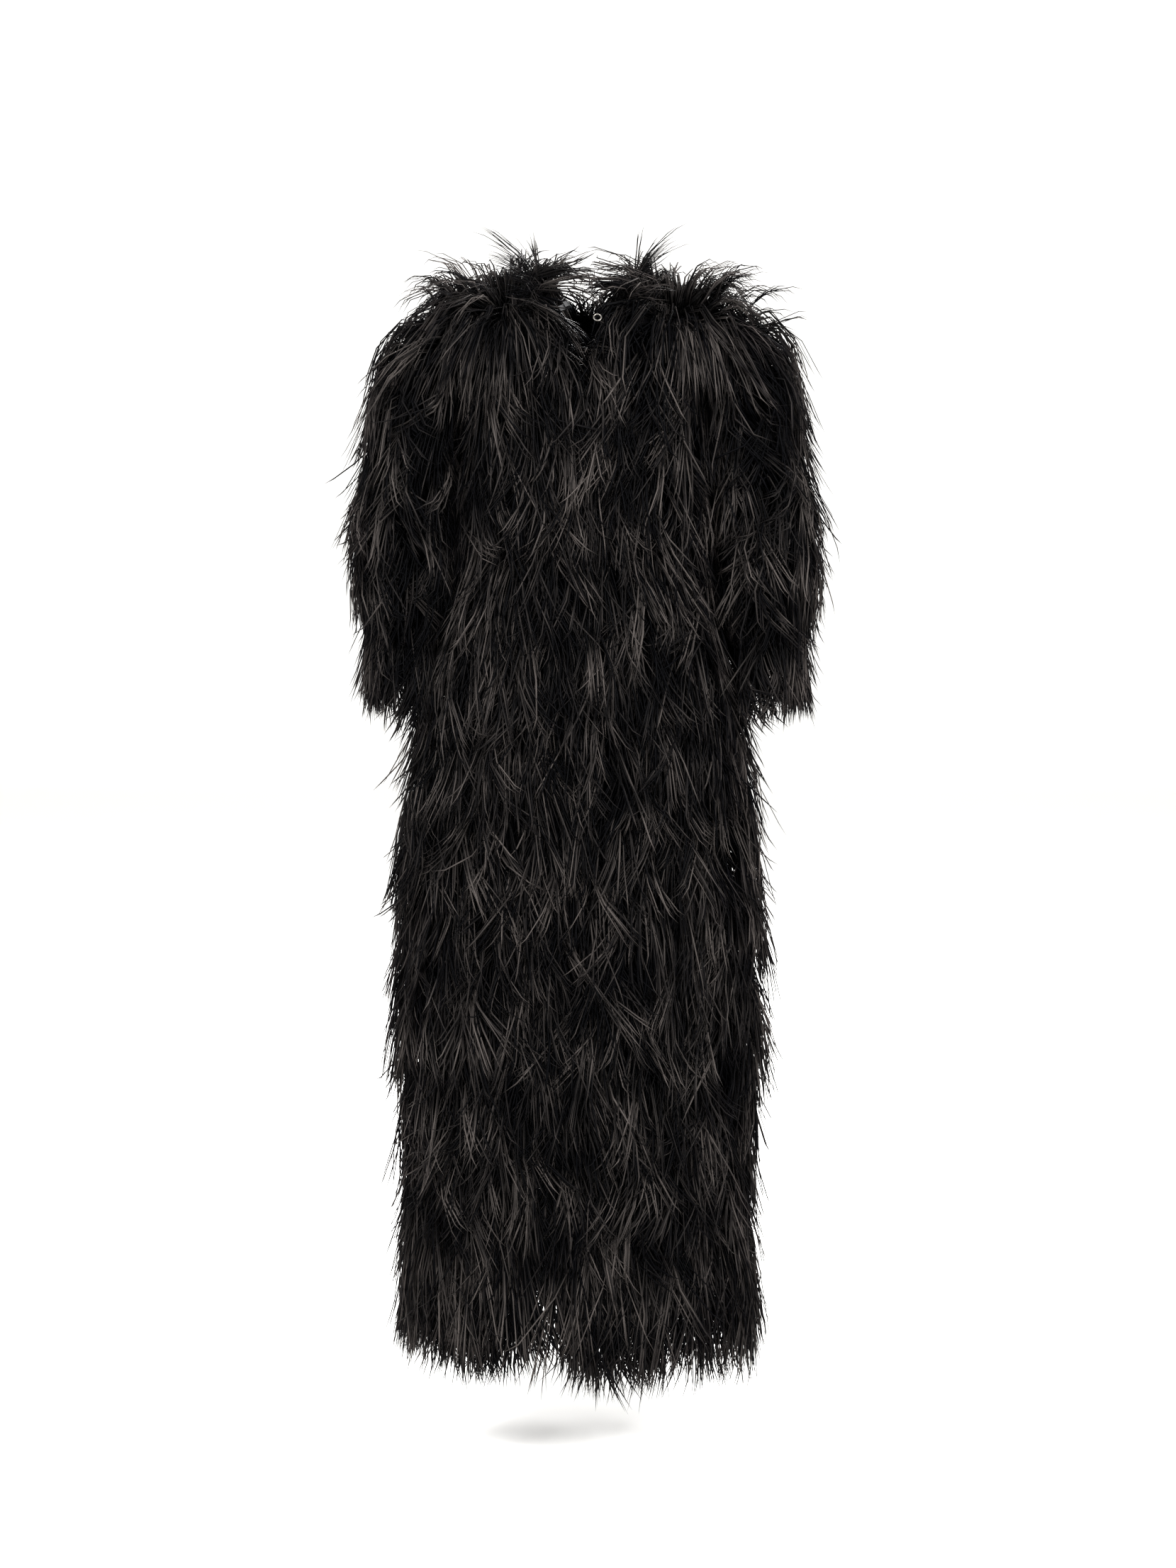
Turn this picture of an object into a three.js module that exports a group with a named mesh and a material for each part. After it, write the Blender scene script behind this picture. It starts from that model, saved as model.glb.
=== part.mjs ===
// A full-length coat of ostrich feathers in the shape it takes when worn: hollow, closed edge to edge down
// the front, with elbow-length sleeves and a V neck.
// Millimetres. +Z is up, -Y is the front and +X is the wearer's left. The origin is at the base of the
// neck, level with the neck end of the shoulder seams, where the wearer's shoulders hold the coat.
// Each wall runs from the cloth, its inner face, out to the reach of the feathers sewn on it.

import * as THREE from "three";

// Clearances and small sizes
const SEAM_GAP = 0.3; // between two pieces that are sewn to each other
const CLOTH = 2.5; // the least thickness of a wall, where feathers are pressed flat
const QUARTER = Math.PI / 2;
const TINY = 1e-6; // shares closer than this are equal

// The torso, from the shoulder seam down to the hem. One row is one level, and a level is a closed oval.
// drop: how far the level's middle lies under the origin.        front, back: depth of the oval.
// half: half its width.      edge: x of the armhole, or of the side seam where it equals half.
// fall: how much lower the level is at its edge than at the neck.  shift: x of the oval's middle.
// right, left: x of the neckline and of the front edge, on the wearer's right and left.
// pile: reach of the feathers at the middle of a front or back.    pileEdge: the same at the armhole or side.
// pileFront: the same at the front edge, where the two fronts meet in a groove.
const LEVEL_COLUMNS = ["drop", "front", "back", "half", "edge", "fall", "shift", "right", "left",
  "pile", "pileEdge", "pileFront"];
const LEVELS = [
  [0, 0, 0, 195, 189, 30, 0, -63, 63, 49, 46, 46],
  [4.2, 25, 24, 195, 186.5, 28, 0, -59, 58, 49, 45, 45],
  [16.4, 49, 46, 194.5, 180, 25, 0, -51, 48, 49, 43, 42],
  [36.3, 71, 66, 193, 171, 20, 0, -39, 34, 48, 39, 40],
  [60.4, 88, 82, 190.5, 164, 14, 0, -23, 15, 47, 34, 38],
  [86.5, 101, 94, 187, 160, 9, 0, -7, -4, 46, 28, 36],
  [112.7, 110, 102, 182, 158.5, 5, 0, 4, 6, 45, 22, 34],
  [136, 115, 107, 176, 157.5, 3, 0, 14, 16, 45, 16, 34],
  [155.4, 118, 110, 170, 157.5, 2, 0, 20, 22, 45, 11, 34],
  [170.1, 119.5, 111, 165, 157.5, 1, 0, 23, 25, 45, 7, 34],
  [181.7, 120, 112, 161, 158, 0.5, 0, 25, 27, 45, 4, 34],
  [190, 120, 112, 158, 158, 0, 0, 26, 28, 45, CLOTH, 34],
  [306, 119, 112, 158, 158, 0, 0, 18, 20, 46, 10, 34],
  [422, 122, 116, 163, 163, 0, -3, -6, -4, 46, 10, 32],
  [538, 128, 122, 182, 182, 0, -6, -28, -26, 46, 28, 30],
  [654, 133, 128, 193, 193, 0, -8, -42, -40, 46, 45, 28],
  [770, 136, 132, 199, 199, 0, -9, -50, -48, 46, 46, 27],
  [886, 138, 134, 203, 203, 0, -9, -52, -49, 46, 46, 26],
  [1002, 139, 135, 204, 204, 0, -9, -56, -48, 45, 45, 25],
  [1118, 138, 134, 201, 201, 0, -9, -67, -46, 44, 42, 24],
  [1234, 136, 132, 197, 197, 0, -9, -80, -44, 42, 38, 23],
];
const UNDERARM = 11; // the level where the armhole ends and the side seam starts
const HEM = LEVELS.length - 1;
const NECK_HALF = LEVELS[0][LEVEL_COLUMNS.indexOf("left")];
const BACK_NECK_LEVEL = 2.3; // the level that the back of the neckline dips to
const BACK_NECK_SHARE = 0.25; // share of the back's half width that the neckline takes at the top

// The sleeve, from the armhole to the cuff. One row is one oval ring round the arm.
// outerX, outerZ: its point away from the body.  innerX, innerZ: its point next to the body.
// depth: half its size from front to back.
// pileOuter, pileInner, pileFace: reach of the feathers at those points and at the ring's front and back.
const RING_COLUMNS = ["outerX", "outerZ", "innerX", "innerZ", "depth", "pileOuter", "pileInner", "pileFace"];
const RINGS = [
  [189, -30, 158, -190, 55, 46, CLOTH, 30],
  [208, -42, 171, -190.5, 60, 44, CLOTH, 31],
  [221, -64, 180, -199, 64, 42, 3, 32],
  [233, -100, 184, -221, 66, 40, 5, 32],
  [243, -144, 185.5, -252, 66, 38, 7, 32],
  [251, -192, 186, -285, 66, 38, 8, 33],
  [259, -238, 186.5, -318, 66, 38, 8, 33],
  [266, -280, 187, -348, 66, 38, 8, 34],
  [272, -320, 188, -375, 66, 38, 8, 34],
  [274, -355, 190, -398, 66, 37, 8, 34],
  [273, -388, 194, -418, 66, 36, 8, 33],
  [270, -416, 199, -434, 65, 35, 7, 32],
  [266, -440, 205, -446, 64, 34, 5, 31],
];
const CUFF = RINGS.length - 1;
const CAP_RINGS = 3; // rings over which the armhole's shape turns into a plain oval

// Feathers lie in overlapping tiers of locks. Each tier rises from its roots to its tips and then steps back.
const TORSO_TIERS = [0, 5, 11, 12, 13, 14, 15, 16, 17, 18, 19, 20]; // levels where the tiers start and end
const SLEEVE_TIERS = [0, 2.5, 5, 7.5, 10.5, 12]; // the same in rings
const TORSO_ROWS = [0, 0.5, 0.92]; // rows of one tier, as shares of it, under the armhole
const SLEEVE_ROWS = [0, 0.5, 0.94];
const TIER_RISE = 13; // how far the tips of a tier stand out over its roots
const LOCK_RISE = 5; // how far one lock stands out over the next
const LOCK_DIP = 16; // how far a lock's tip may hang under its tier or lie over it
const DIP_LEVELS = 0.4; // the most of it in levels, so that the rows keep their order
const THIN = 4; // reach at which a wall is too thin to show locks
const FULL = 28; // reach from which they stand at their full height
const SIDE_SHARE = 0.42; // share of a panel from which its feathers turn to their reach at the side
const GROOVE_SHARE = 0.3; // share of a front over which its feathers rise from the groove at its front edge
const ARMHOLE_SHARE = 0.7; // share of a panel from which its wall turns to the armhole's direction
const ARMHOLE_RINGS = 1.5; // rings over which the sleeve's wall turns from that direction to its own
const RING_SPACING = 45; // usual distance between two rings
const LOCK_EVEN = 0.7; // least height of a lock, as a share of its full height
const FREE_SHARE = 0.9; // share of a panel up to which the tips of its tiers are uneven
const FRONT_LOCKS = 16; // columns across a front
const BACK_LOCKS = 32; // and across the back, a multiple of eight so that one ends at the neckline
const FINE_LEVELS = 5; // levels down to which the inner face has a row every half level
const CLOTH_COLUMNS = 5; // columns of the plain inner face of a front, with twice as many in the back

// On each shoulder the feathers part in a whorl, which leaves a small hollow.
const WHORLS = [{ x: -103, level: 1.2 }, { x: 122, level: 1.2 }];
const WHORL_DEPTH = 15;
const WHORL_WIDE = 24;

// The locks that hang free past the edges, each fringe on its own narrow strip
const STRIP_HIGH = 6;
const STRIP_SHARE = [0.3, 1]; // part of the wall's thickness that a hem or cuff strip covers
const BAND_THICK = 5; // the neck band, which stands against the neckline's cut edge
const BAND_GAP = 1.2; // its clearance to that edge, which bends both ways
const BAND_SHARE = 1.02; // height of the band as a share of the wall's thickness there
const BAND_END = 4; // level of the neckline where the band ends in front
const HEM_LENGTHS = { right: 158, left: 186, back: 170 }; // the left front hangs lowest
const CUFF_LENGTH = 94;
const CUFF_INNER_LENGTH = 50; // next to the body, where the locks are shorter and lean on its feathers
const CUFF_LEAN = 34;
const NECK_LENGTH = 52;
const NECK_FRONT_LENGTH = 26;
const NECK_LEAN = 20; // how far the neck's locks arch away from the neck
const LENGTHS_DIFFER = 0.13; // share that the lengths of hanging locks differ by
const TIP_STRAY = 5; // how far a hem lock's tip strays to any side
const HEM_FLARE = 4; // how far the hem's locks bow and end outward
const LOCK_BOW = 2; // how far the middle of a cuff's or the neck's lock is drawn aside
const NECK_RUN = 75; // how far in front of the shoulder seam the neck's locks start to grow longer
const LOCK_WAIST = 0.66; // width of a lock halfway along, as a share of its root
const LOCK_INSET = 0.88; // width of a root, as a share of the strip that it takes

// The hook on the right front edge and the eye on the left one
const WIRE = 2.2;
const ROUND_FACES = 6; // faces of a half or quarter round
const HOOK_STATION = 2; // stations up from the band's end on the right
const HOOK_LONG = 15;
const HOOK_WIDE = 9;
const EYE_STATION = 1; // and on the left
const EYE_RADIUS = 5;
const FASTENING_SHARE = 0.8; // how far out through the feathers both lie

const FEATHER = { color: 0x1a1817, roughness: 0.75, metalness: 0 };
const HOOK_FINISH = { color: 0x0c0c0d, roughness: 0.25, metalness: 0.4 };
const EYE_FINISH = { color: 0x8a8782, roughness: 0.3, metalness: 1 };

const smooth = (t) => THREE.MathUtils.smoothstep(t, 0, 1);
const mix = THREE.MathUtils.lerp;
const vector = (x, y, z) => new THREE.Vector3(x, y, z);
const range = (n) => Array.from({ length: n }, (_, k) => k);

// Where the repeatable numbers of each part start
const SEEDS = { torso: 50, sleeve: 30, sleeveTips: 9, hem: 20, hemBack: 40, cuff: 5, neck: 3 };

// A repeatable number from -1 to 1 for lock i of tier j.
function chance(i, j) {
  const wave = Math.sin(i * 12.9898 + j * 78.233) * 43758.5453;
  return 2 * (wave - Math.floor(wave)) - 1;
}

// How high column k stands: odd columns run along the top of a lock, and even ones between two.
const lockWave = (k, tier) => (k % 2 ? 1 : -1) * mix(LOCK_EVEN, 1, (1 + chance(k, tier)) / 2);

// A table's rows as a smooth curve, with each row at its place along it. The result gives the named
// columns at row i, whole or not.
function curveOf(rows, columns, places) {
  const curve = new THREE.CubicInterpolant(
    Float32Array.from(places), Float32Array.from(rows.flat()), columns.length,
  );
  return (i) => {
    const row = THREE.MathUtils.clamp(i, 0, rows.length - 1);
    const first = Math.min(Math.floor(row), rows.length - 2);
    const values = curve.evaluate(mix(places[first], places[first + 1], row - first));
    return Object.fromEntries(columns.map((name, k) => [name, values[k]]));
  };
}

// The places of rows that lie as far apart as their points (a, b) do, for two of their columns.
function spacedBy(rows, a, b) {
  let reached = 0;
  return rows.map((row, k) => {
    if (k > 0) reached += Math.hypot(row[a] - rows[k - 1][a], row[b] - rows[k - 1][b]);
    return reached;
  });
}
const levelAt = curveOf(
  LEVELS, LEVEL_COLUMNS, spacedBy(LEVELS, LEVEL_COLUMNS.indexOf("drop"), LEVEL_COLUMNS.indexOf("front")),
);
const ringAt = curveOf(
  RINGS, RING_COLUMNS, spacedBy(RINGS, RING_COLUMNS.indexOf("outerX"), RING_COLUMNS.indexOf("outerZ")),
);

// A point of the torso's cloth. turn is the angle round the body, 0 at its middle and a quarter at its
// sides. face is -1 on the fronts and 1 on the back, and half a seam's gap parts each from the seam.
function torsoPoint(turn, i, face) {
  const level = levelAt(i);
  const side = level.half * Math.sin(turn);
  const depth = Math.max(0, face < 0 ? level.front : level.back) * Math.abs(Math.cos(turn));
  const pastNeck = Math.max(0, (Math.abs(side) - NECK_HALF) / (level.half - NECK_HALF));
  return vector(
    level.shift + side,
    face * (depth + SEAM_GAP / 2),
    -level.drop - Math.max(0, level.fall) * pastNeck,
  );
}

// The way out of the torso's cloth. Across a seam it has no part, so that both walls end face to face.
function torsoOutward(turn, i, face) {
  const step = 0.01;
  const inTurn = THREE.MathUtils.clamp(turn, 2 * step - QUARTER, QUARTER - 2 * step);
  const inLevel = THREE.MathUtils.clamp(i, step, HEM - step);
  const across = torsoPoint(inTurn + step, inLevel, face).sub(torsoPoint(inTurn - step, inLevel, face));
  const down = torsoPoint(inTurn, inLevel + step, face).sub(torsoPoint(inTurn, inLevel - step, face));
  const out = across.cross(down).multiplyScalar(face);
  if (i === 0 || Math.abs(turn) > QUARTER - step) out.y = 0;
  return out.normalize();
}

const turnAt = (x, level) => Math.asin(THREE.MathUtils.clamp((x - level.shift) / level.half, -1, 1));
const edgeTurn = (level) => Math.asin(Math.min(1, level.edge / level.half));

// The way out at the armhole, halfway between the torso's and the sleeve's. side is 1 on the left.
function armholeOutward(i, face, side) {
  const turn = side * edgeTurn(levelAt(i));
  const point = torsoPoint(turn, i, face);
  const ring = RINGS[0];
  const round = vector(0, point.y, point.z - (ring[1] + ring[3]) / 2);
  if (i === 0 || i === UNDERARM) round.y = 0;
  return torsoOutward(turn, i, face).add(round.normalize()).normalize();
}

// How far the feathers reach at a wall's point: pile is their plain reach, phase runs from 0 at a tier's
// roots to 1 at its tips, and wave is 1 on top of a lock and -1 between two.
function reachOf(pile, phase, wave) {
  const show = THREE.MathUtils.clamp((pile - THIN) / (FULL - THIN), 0, 1);
  return pile + show * (TIER_RISE * phase + LOCK_RISE * wave);
}

// The rows of a tiered surface. place is the level or ring, and tip tells that the row moves with the locks.
function tierRows(tiers, shares) {
  const rows = [];
  for (let tier = 0; tier < tiers.length - 1; tier += 1) {
    const [start, end] = [tiers[tier], tiers[tier + 1]];
    const inTier = shares(tier);
    for (const share of inTier) {
      const tip = (share === 0 && tier > 0) || (share === inTier.at(-1) && tier < tiers.length - 2);
      rows.push({ place: mix(start, end, share), phase: share, tier: share === 0 ? tier - 1 : tier, tip });
    }
  }
  rows.push({ place: tiers.at(-1), phase: 1, tier: tiers.length - 2, tip: false });
  return rows;
}
const halfSteps = (length) => range(2 * length).map((k) => k / (2 * length));
const torsoRows = tierRows(TORSO_TIERS, (tier) =>
  TORSO_TIERS[tier + 1] <= UNDERARM ? halfSteps(TORSO_TIERS[tier + 1] - TORSO_TIERS[tier]) : TORSO_ROWS);
const sleeveRows = tierRows(SLEEVE_TIERS, () => SLEEVE_ROWS);

// The triangles between two lines of points that run side by side. Each has its points and their shares
// along it. Every step of one line goes to the nearest point of the other.
function ribbon(a, b) {
  const triangles = [];
  const middles = range(b.length - 1).map((k) => (b[k].share + b[k + 1].share) / 2);
  const far = (point, share) => Math.abs(point.share - share);
  const nearest = middles.map((share) => a.reduce(
    (best, point, k) => (far(point, share) < far(a[best], share) - TINY ? k : best), 0,
  ));
  let reached = 0;
  a.forEach((point, k) => {
    while (reached < nearest.length && nearest[reached] === k) {
      triangles.push([point.at, b[reached].at, b[reached + 1].at]);
      reached += 1;
    }
    if (k < a.length - 1) triangles.push([point.at, b[reached].at, a[k + 1].at]);
  });
  return triangles;
}

// The triangles of a grid of points, row by row.
function sheet(points) {
  const triangles = [];
  for (let r = 0; r < points.length - 1; r += 1) {
    for (let c = 0; c < points[r].length - 1; c += 1) {
      const [p, q, s, t] = [points[r][c], points[r][c + 1], points[r + 1][c], points[r + 1][c + 1]];
      triangles.push([p, s, q], [q, s, t]);
    }
  }
  return triangles;
}

// A closed mesh of the triangles, turned so that they face out.
function solid(name, triangles, finish) {
  const volume = triangles.reduce((sum, [a, b, c]) => sum + a.dot(b.clone().cross(c)), 0);
  const facing = volume < 0 ? triangles.map(([a, b, c]) => [a, c, b]) : triangles;
  const geometry = new THREE.BufferGeometry().setFromPoints(facing.flat());
  geometry.computeVertexNormals();
  const mesh = new THREE.Mesh(geometry, new THREE.MeshStandardMaterial(finish));
  mesh.name = name;
  return mesh;
}

// A wall between an outer grid of feathers and an inner grid of cloth. Each grid has its points, and the
// shares of its rows and columns. A wall that closes on itself has only its first and last rows as rims.
function wall(name, outer, inner, closed) {
  const line = (points, shares) => points.map((at, k) => ({ at, share: shares[k] }));
  const row = (grid, r) => line(grid.points.at(r), grid.columns);
  const column = (grid, c) => line(grid.points.map((points) => points.at(c)), grid.rows);
  const turned = (triangles) => triangles.map(([a, b, c]) => [a, c, b]);
  const triangles = [
    ...sheet(outer.points),
    ...turned(sheet(inner.points)),
    ...turned(ribbon(row(outer, 0), row(inner, 0))),
    ...ribbon(row(outer, -1), row(inner, -1)),
  ];
  if (!closed) {
    triangles.push(
      ...ribbon(column(outer, 0), column(inner, 0)),
      ...turned(ribbon(column(outer, -1), column(inner, -1))),
    );
  }
  return solid(name, triangles, FEATHER);
}

// The level of the back's point whose share u runs from -1 to 1 across it. Under the neckline the levels
// are pressed together, so that the top row follows it.
function backLevel(u, i) {
  const dip = BACK_NECK_LEVEL * Math.sqrt(Math.max(0, 1 - (u / BACK_NECK_SHARE) ** 2));
  return i < UNDERARM ? mix(dip, UNDERARM, i / UNDERARM) : i;
}

// The turn of a panel's point. On a front, share t runs from 0 at the front edge to 1 at the side.
function frontTurn(t, i, side) {
  const level = levelAt(i);
  return mix(turnAt(side < 0 ? level.right : level.left, level), side * edgeTurn(level), t);
}
const backTurn = (u, i) => u * edgeTurn(levelAt(i));

function whorlDip(point) {
  return WHORLS.reduce((sum, whorl) => {
    const level = levelAt(whorl.level);
    const across = (point.x - whorl.x) ** 2 + (point.y + level.front) ** 2;
    return sum + WHORL_DEPTH * Math.exp(-across / (2 * WHORL_WIDE ** 2));
  }, 0);
}

// One point of a torso panel at row and share. The wall's feathers end at its reach.
function panelPoint(panel, share, row, wave) {
  const { face, side } = panel;
  const i = panel.levelOf(share, row.place);
  const turn = panel.turnOf(share, i);
  const level = levelAt(i);
  const beside = smooth((Math.abs(share) - SIDE_SHARE) / (1 - SIDE_SHARE));
  const pastGroove = face < 0 ? smooth(share / GROOVE_SHARE) : 1;
  const pile = mix(mix(level.pileFront, level.pile, pastGroove), level.pileEdge, beside);
  const point = torsoPoint(turn, i, face);
  const out = torsoOutward(turn, i, face);
  const atSeam = Math.abs(share) === 1 || (share === 0 && face < 0) || row.place === 0;
  let phase = row.phase;
  if (row.place <= UNDERARM) {
    const near = smooth((Math.abs(share) - ARMHOLE_SHARE) / (1 - ARMHOLE_SHARE));
    const seam = armholeOutward(Math.min(i, UNDERARM), face, side || Math.sign(share));
    out.lerp(seam, near).normalize();
    if (row.place === 0 || (Math.abs(share) === 1 && row.place === UNDERARM)) out.setY(0).normalize();
    phase *= 1 - near;
  }
  if (row.place === HEM) out.setZ(0).normalize();
  const reach = reachOf(pile, phase, atSeam ? 0 : wave) - (face < 0 ? whorlDip(point) : 0);
  return { point, out, reach };
}

// The levels of a wall's inner rows: finer where the neckline bends.
const clothLevels = (last) => range(2 * last + 1).map((k) => k / 2)
  .filter((i) => i <= FINE_LEVELS || i % 1 === 0);

// The grids of a torso panel, from the shares of its outer and inner columns.
function panelWall(name, panel, columns, innerColumns) {
  const outer = torsoRows.map((row) => columns.map((share, k) => {
    const free = row.tip && Math.abs(share) < FREE_SHARE && (share > 0 || panel === BACK);
    const spacing = (levelAt(row.place + 1).drop - levelAt(row.place - 1).drop) / 2;
    const most = free ? Math.min(LOCK_DIP / spacing, DIP_LEVELS) : 0;
    const dip = most * chance(k, row.tier);
    const wave = lockWave(k, row.tier + SEEDS.torso);
    const { point, out, reach } = panelPoint(panel, share, { ...row, place: row.place + dip }, wave);
    return point.addScaledVector(out, reach);
  }));
  const innerRows = clothLevels(HEM);
  const inner = innerRows.map((place) => innerColumns.map((share) => {
    const i = panel.levelOf(share, place);
    return torsoPoint(panel.turnOf(share, i), i, panel.face);
  }));
  return wall(
    name,
    { points: outer, rows: torsoRows.map((row) => row.place), columns },
    { points: inner, rows: innerRows, columns: innerColumns },
    false,
  );
}

const FRONTS = [
  { name: "right", side: -1 },
  { name: "left", side: 1 },
].map(({ name, side }) => ({
  name, side, face: -1, levelOf: (t, i) => i, turnOf: (t, i) => frontTurn(t, i, side),
}));
const BACK = { name: "back", side: 0, face: 1, levelOf: backLevel, turnOf: backTurn };

const frontColumns = range(FRONT_LOCKS + 1).map((k) => k / FRONT_LOCKS);
const backColumns = range(BACK_LOCKS + 1).map((k) => (2 * k) / BACK_LOCKS - 1);
const frontClothColumns = range(CLOTH_COLUMNS + 1).map((k) => k / CLOTH_COLUMNS);
const backClothColumns = backColumns.filter((u, k) => k % 4 === 0 || Math.abs(u) < BACK_NECK_SHARE);

// The sleeve's columns go once round it from the top, down its front and up its back, by the armhole's
// levels. face is -1 on the front half.
const sleeveColumns = range(4 * UNDERARM + 1).map((k) => {
  const half = 2 * UNDERARM;
  return { share: k / (2 * half), level: (k <= half ? k : 2 * half - k) / 2, face: k <= half ? -1 : 1 };
});

// A point of the sleeve's cloth on the wearer's left: the armhole's shape near the torso, then an oval.
function sleevePoint(column, j) {
  const { level: i, face } = column;
  const start = torsoPoint(edgeTurn(levelAt(i)), i, face);
  if (i === 0 || i === UNDERARM) start.y = 0;
  const centreOf = (ring) => vector((ring.outerX + ring.innerX) / 2, 0, (ring.outerZ + ring.innerZ) / 2);
  start.sub(centreOf(ringAt(0)));
  const turn = Math.atan2(Math.abs(start.y), start.z);
  const ring = ringAt(j);
  const oval = vector((ring.outerX - ring.innerX) / 2, 0, (ring.outerZ - ring.innerZ) / 2)
    .multiplyScalar(Math.cos(turn));
  oval.y = face * ring.depth * Math.sin(turn);
  return start.lerp(oval, smooth(j / CAP_RINGS)).add(centreOf(ring)).add(vector(SEAM_GAP, 0, 0));
}

// The same point with the way out of it and the feathers' reach.
function sleeveStation(k, row, wave) {
  const column = sleeveColumns[k];
  const last = sleeveColumns.length - 1;
  const j = row.place;
  const next = sleeveColumns[(k + 1) % last];
  const before = sleeveColumns[(k + last - 1) % last];
  const step = 0.02;
  const high = Math.min(CUFF, j + step);
  const low = Math.max(0, j - step);
  const down = sleevePoint(column, high).sub(sleevePoint(column, low));
  const round = sleevePoint(next, j).sub(sleevePoint(before, j));
  const out = round.cross(down).normalize();
  const seam = armholeOutward(column.level, column.face, 1);
  out.copy(seam.lerp(out, smooth(j / ARMHOLE_RINGS)).normalize());
  if (j === CUFF) out.setZ(0).normalize();
  const ring = ringAt(j);
  const point = sleevePoint(column, j);
  const middle = (ring.outerZ + ring.innerZ) / 2;
  const height = THREE.MathUtils.clamp((point.z - middle) / Math.abs(ring.outerZ - ring.innerZ) * 2, -1, 1);
  const across = (2 * (point.x - SEAM_GAP) - ring.outerX - ring.innerX) / (ring.outerX - ring.innerX);
  const toOuter = j < CAP_RINGS ? height : THREE.MathUtils.clamp(across, -1, 1);
  const pile = mix(ring.pileFace, toOuter > 0 ? ring.pileOuter : ring.pileInner, smooth(Math.abs(toOuter)));
  const level = levelAt(column.level);
  const plain = mix(level.pileEdge, pile, smooth(j / ARMHOLE_RINGS));
  return { point, out, reach: reachOf(plain, row.phase, j === 0 ? 0 : wave) };
}

// Mirrors a point of the left sleeve to the side where it is worn.
const onSide = (point, side) => vector(point.x * side, point.y, point.z);

function sleeve(name, side) {
  const count = sleeveColumns.length - 1;
  const outer = sleeveRows.map((row) => range(count + 1).map((n) => {
    const k = n % count;
    const dip = row.tip ? (LOCK_DIP * chance(k, row.tier + SEEDS.sleeveTips * side)) / RING_SPACING : 0;
    const wave = lockWave(k, row.tier + SEEDS.sleeve * side);
    const { point, out, reach } = sleeveStation(k, { ...row, place: row.place + dip }, wave);
    return onSide(point.addScaledVector(out, reach), side);
  }));
  const rings = range(CUFF + 1);
  const levels = clothLevels(UNDERARM);
  const inColumns = sleeveColumns.filter(({ level }) => levels.includes(level));
  const inner = rings.map((j) => inColumns.map((column, n) =>
    onSide(sleevePoint(n === inColumns.length - 1 ? inColumns[0] : column, j), side)));
  return wall(
    name,
    { points: outer, rows: sleeveRows.map((row) => row.place), columns: sleeveColumns.map((c) => c.share) },
    { points: inner, rows: rings, columns: inColumns.map((column) => column.share) },
    true,
  );
}

// Free locks on a narrow strip. Each station along the strip has its origin, the strip's width and height
// as vectors, and each lock grows from the strip's far face between two stations. A lock has four sides
// and ends in a point. reachTo(k) gives the vector from lock k's root to its tip, and bow(k) how far its
// middle is drawn aside.
function fringe(name, stations, closed, reachTo, bow) {
  const corners = stations.map(({ origin, width, height }) => {
    const far = origin.clone().add(height);
    return [origin, origin.clone().add(width), far.clone().add(width), far];
  });
  const count = closed ? stations.length : stations.length - 1;
  const triangles = [];
  const quad = (p, q, r, s) => triangles.push([p, q, r], [p, r, s]);
  for (const k of range(count)) {
    const here = corners[k];
    const next = corners[(k + 1) % corners.length];
    quad(here[0], next[0], next[1], here[1]);
    quad(here[1], next[1], next[2], here[2]);
    quad(here[3], next[3], next[0], here[0]);
    const face = [here[2], next[2], next[3], here[3]];
    const centre = face.reduce((sum, p) => sum.add(p), vector(0, 0, 0)).divideScalar(4);
    const root = face.map((p) => centre.clone().lerp(p, LOCK_INSET));
    const toTip = reachTo(k);
    const waistCentre = centre.clone().addScaledVector(toTip, 0.5).add(bow(k));
    const waist = face.map((p) => waistCentre.clone().add(p.clone().sub(centre).multiplyScalar(LOCK_WAIST)));
    const tip = centre.clone().add(toTip);
    for (const c of range(4)) {
      const d = (c + 1) % 4;
      quad(face[c], face[d], root[d], root[c]);
      quad(root[c], root[d], waist[d], waist[c]);
      triangles.push([waist[c], waist[d], tip]);
    }
  }
  if (!closed) {
    const [first, last] = [corners[0], corners.at(-1)];
    quad(first[0], first[1], first[2], first[3]);
    quad(last[3], last[2], last[1], last[0]);
  }
  return solid(name, triangles, FEATHER);
}

// A strip along a wall's lower edge, and its hanging locks.
function hangingStations(edge, down) {
  return edge.map(({ point, out, reach }) => ({
    origin: point.clone().addScaledVector(down, SEAM_GAP).addScaledVector(out, reach * STRIP_SHARE[0]),
    width: out.clone().multiplyScalar(reach * (STRIP_SHARE[1] - STRIP_SHARE[0])),
    height: down.clone().multiplyScalar(STRIP_HIGH),
  }));
}

function hemFringe(name, panel, columns, seed) {
  const hemRow = torsoRows.at(-1);
  const edge = columns.map((share) => {
    const station = panelPoint(panel, share, hemRow, 0);
    return { ...station, out: station.out.setZ(0).normalize() };
  });
  const down = vector(0, 0, -1);
  return fringe(
    name, hangingStations(edge, down), false,
    (k) => {
      const length = HEM_LENGTHS[panel.name] * (1 + LENGTHS_DIFFER * chance(k, seed + 2));
      return vector(TIP_STRAY * chance(k, seed), TIP_STRAY * chance(k, seed + 1), -length)
        .addScaledVector(edge[k].out, HEM_FLARE);
    },
    (k) => edge[k].out.clone().multiplyScalar(HEM_FLARE),
  );
}

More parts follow.
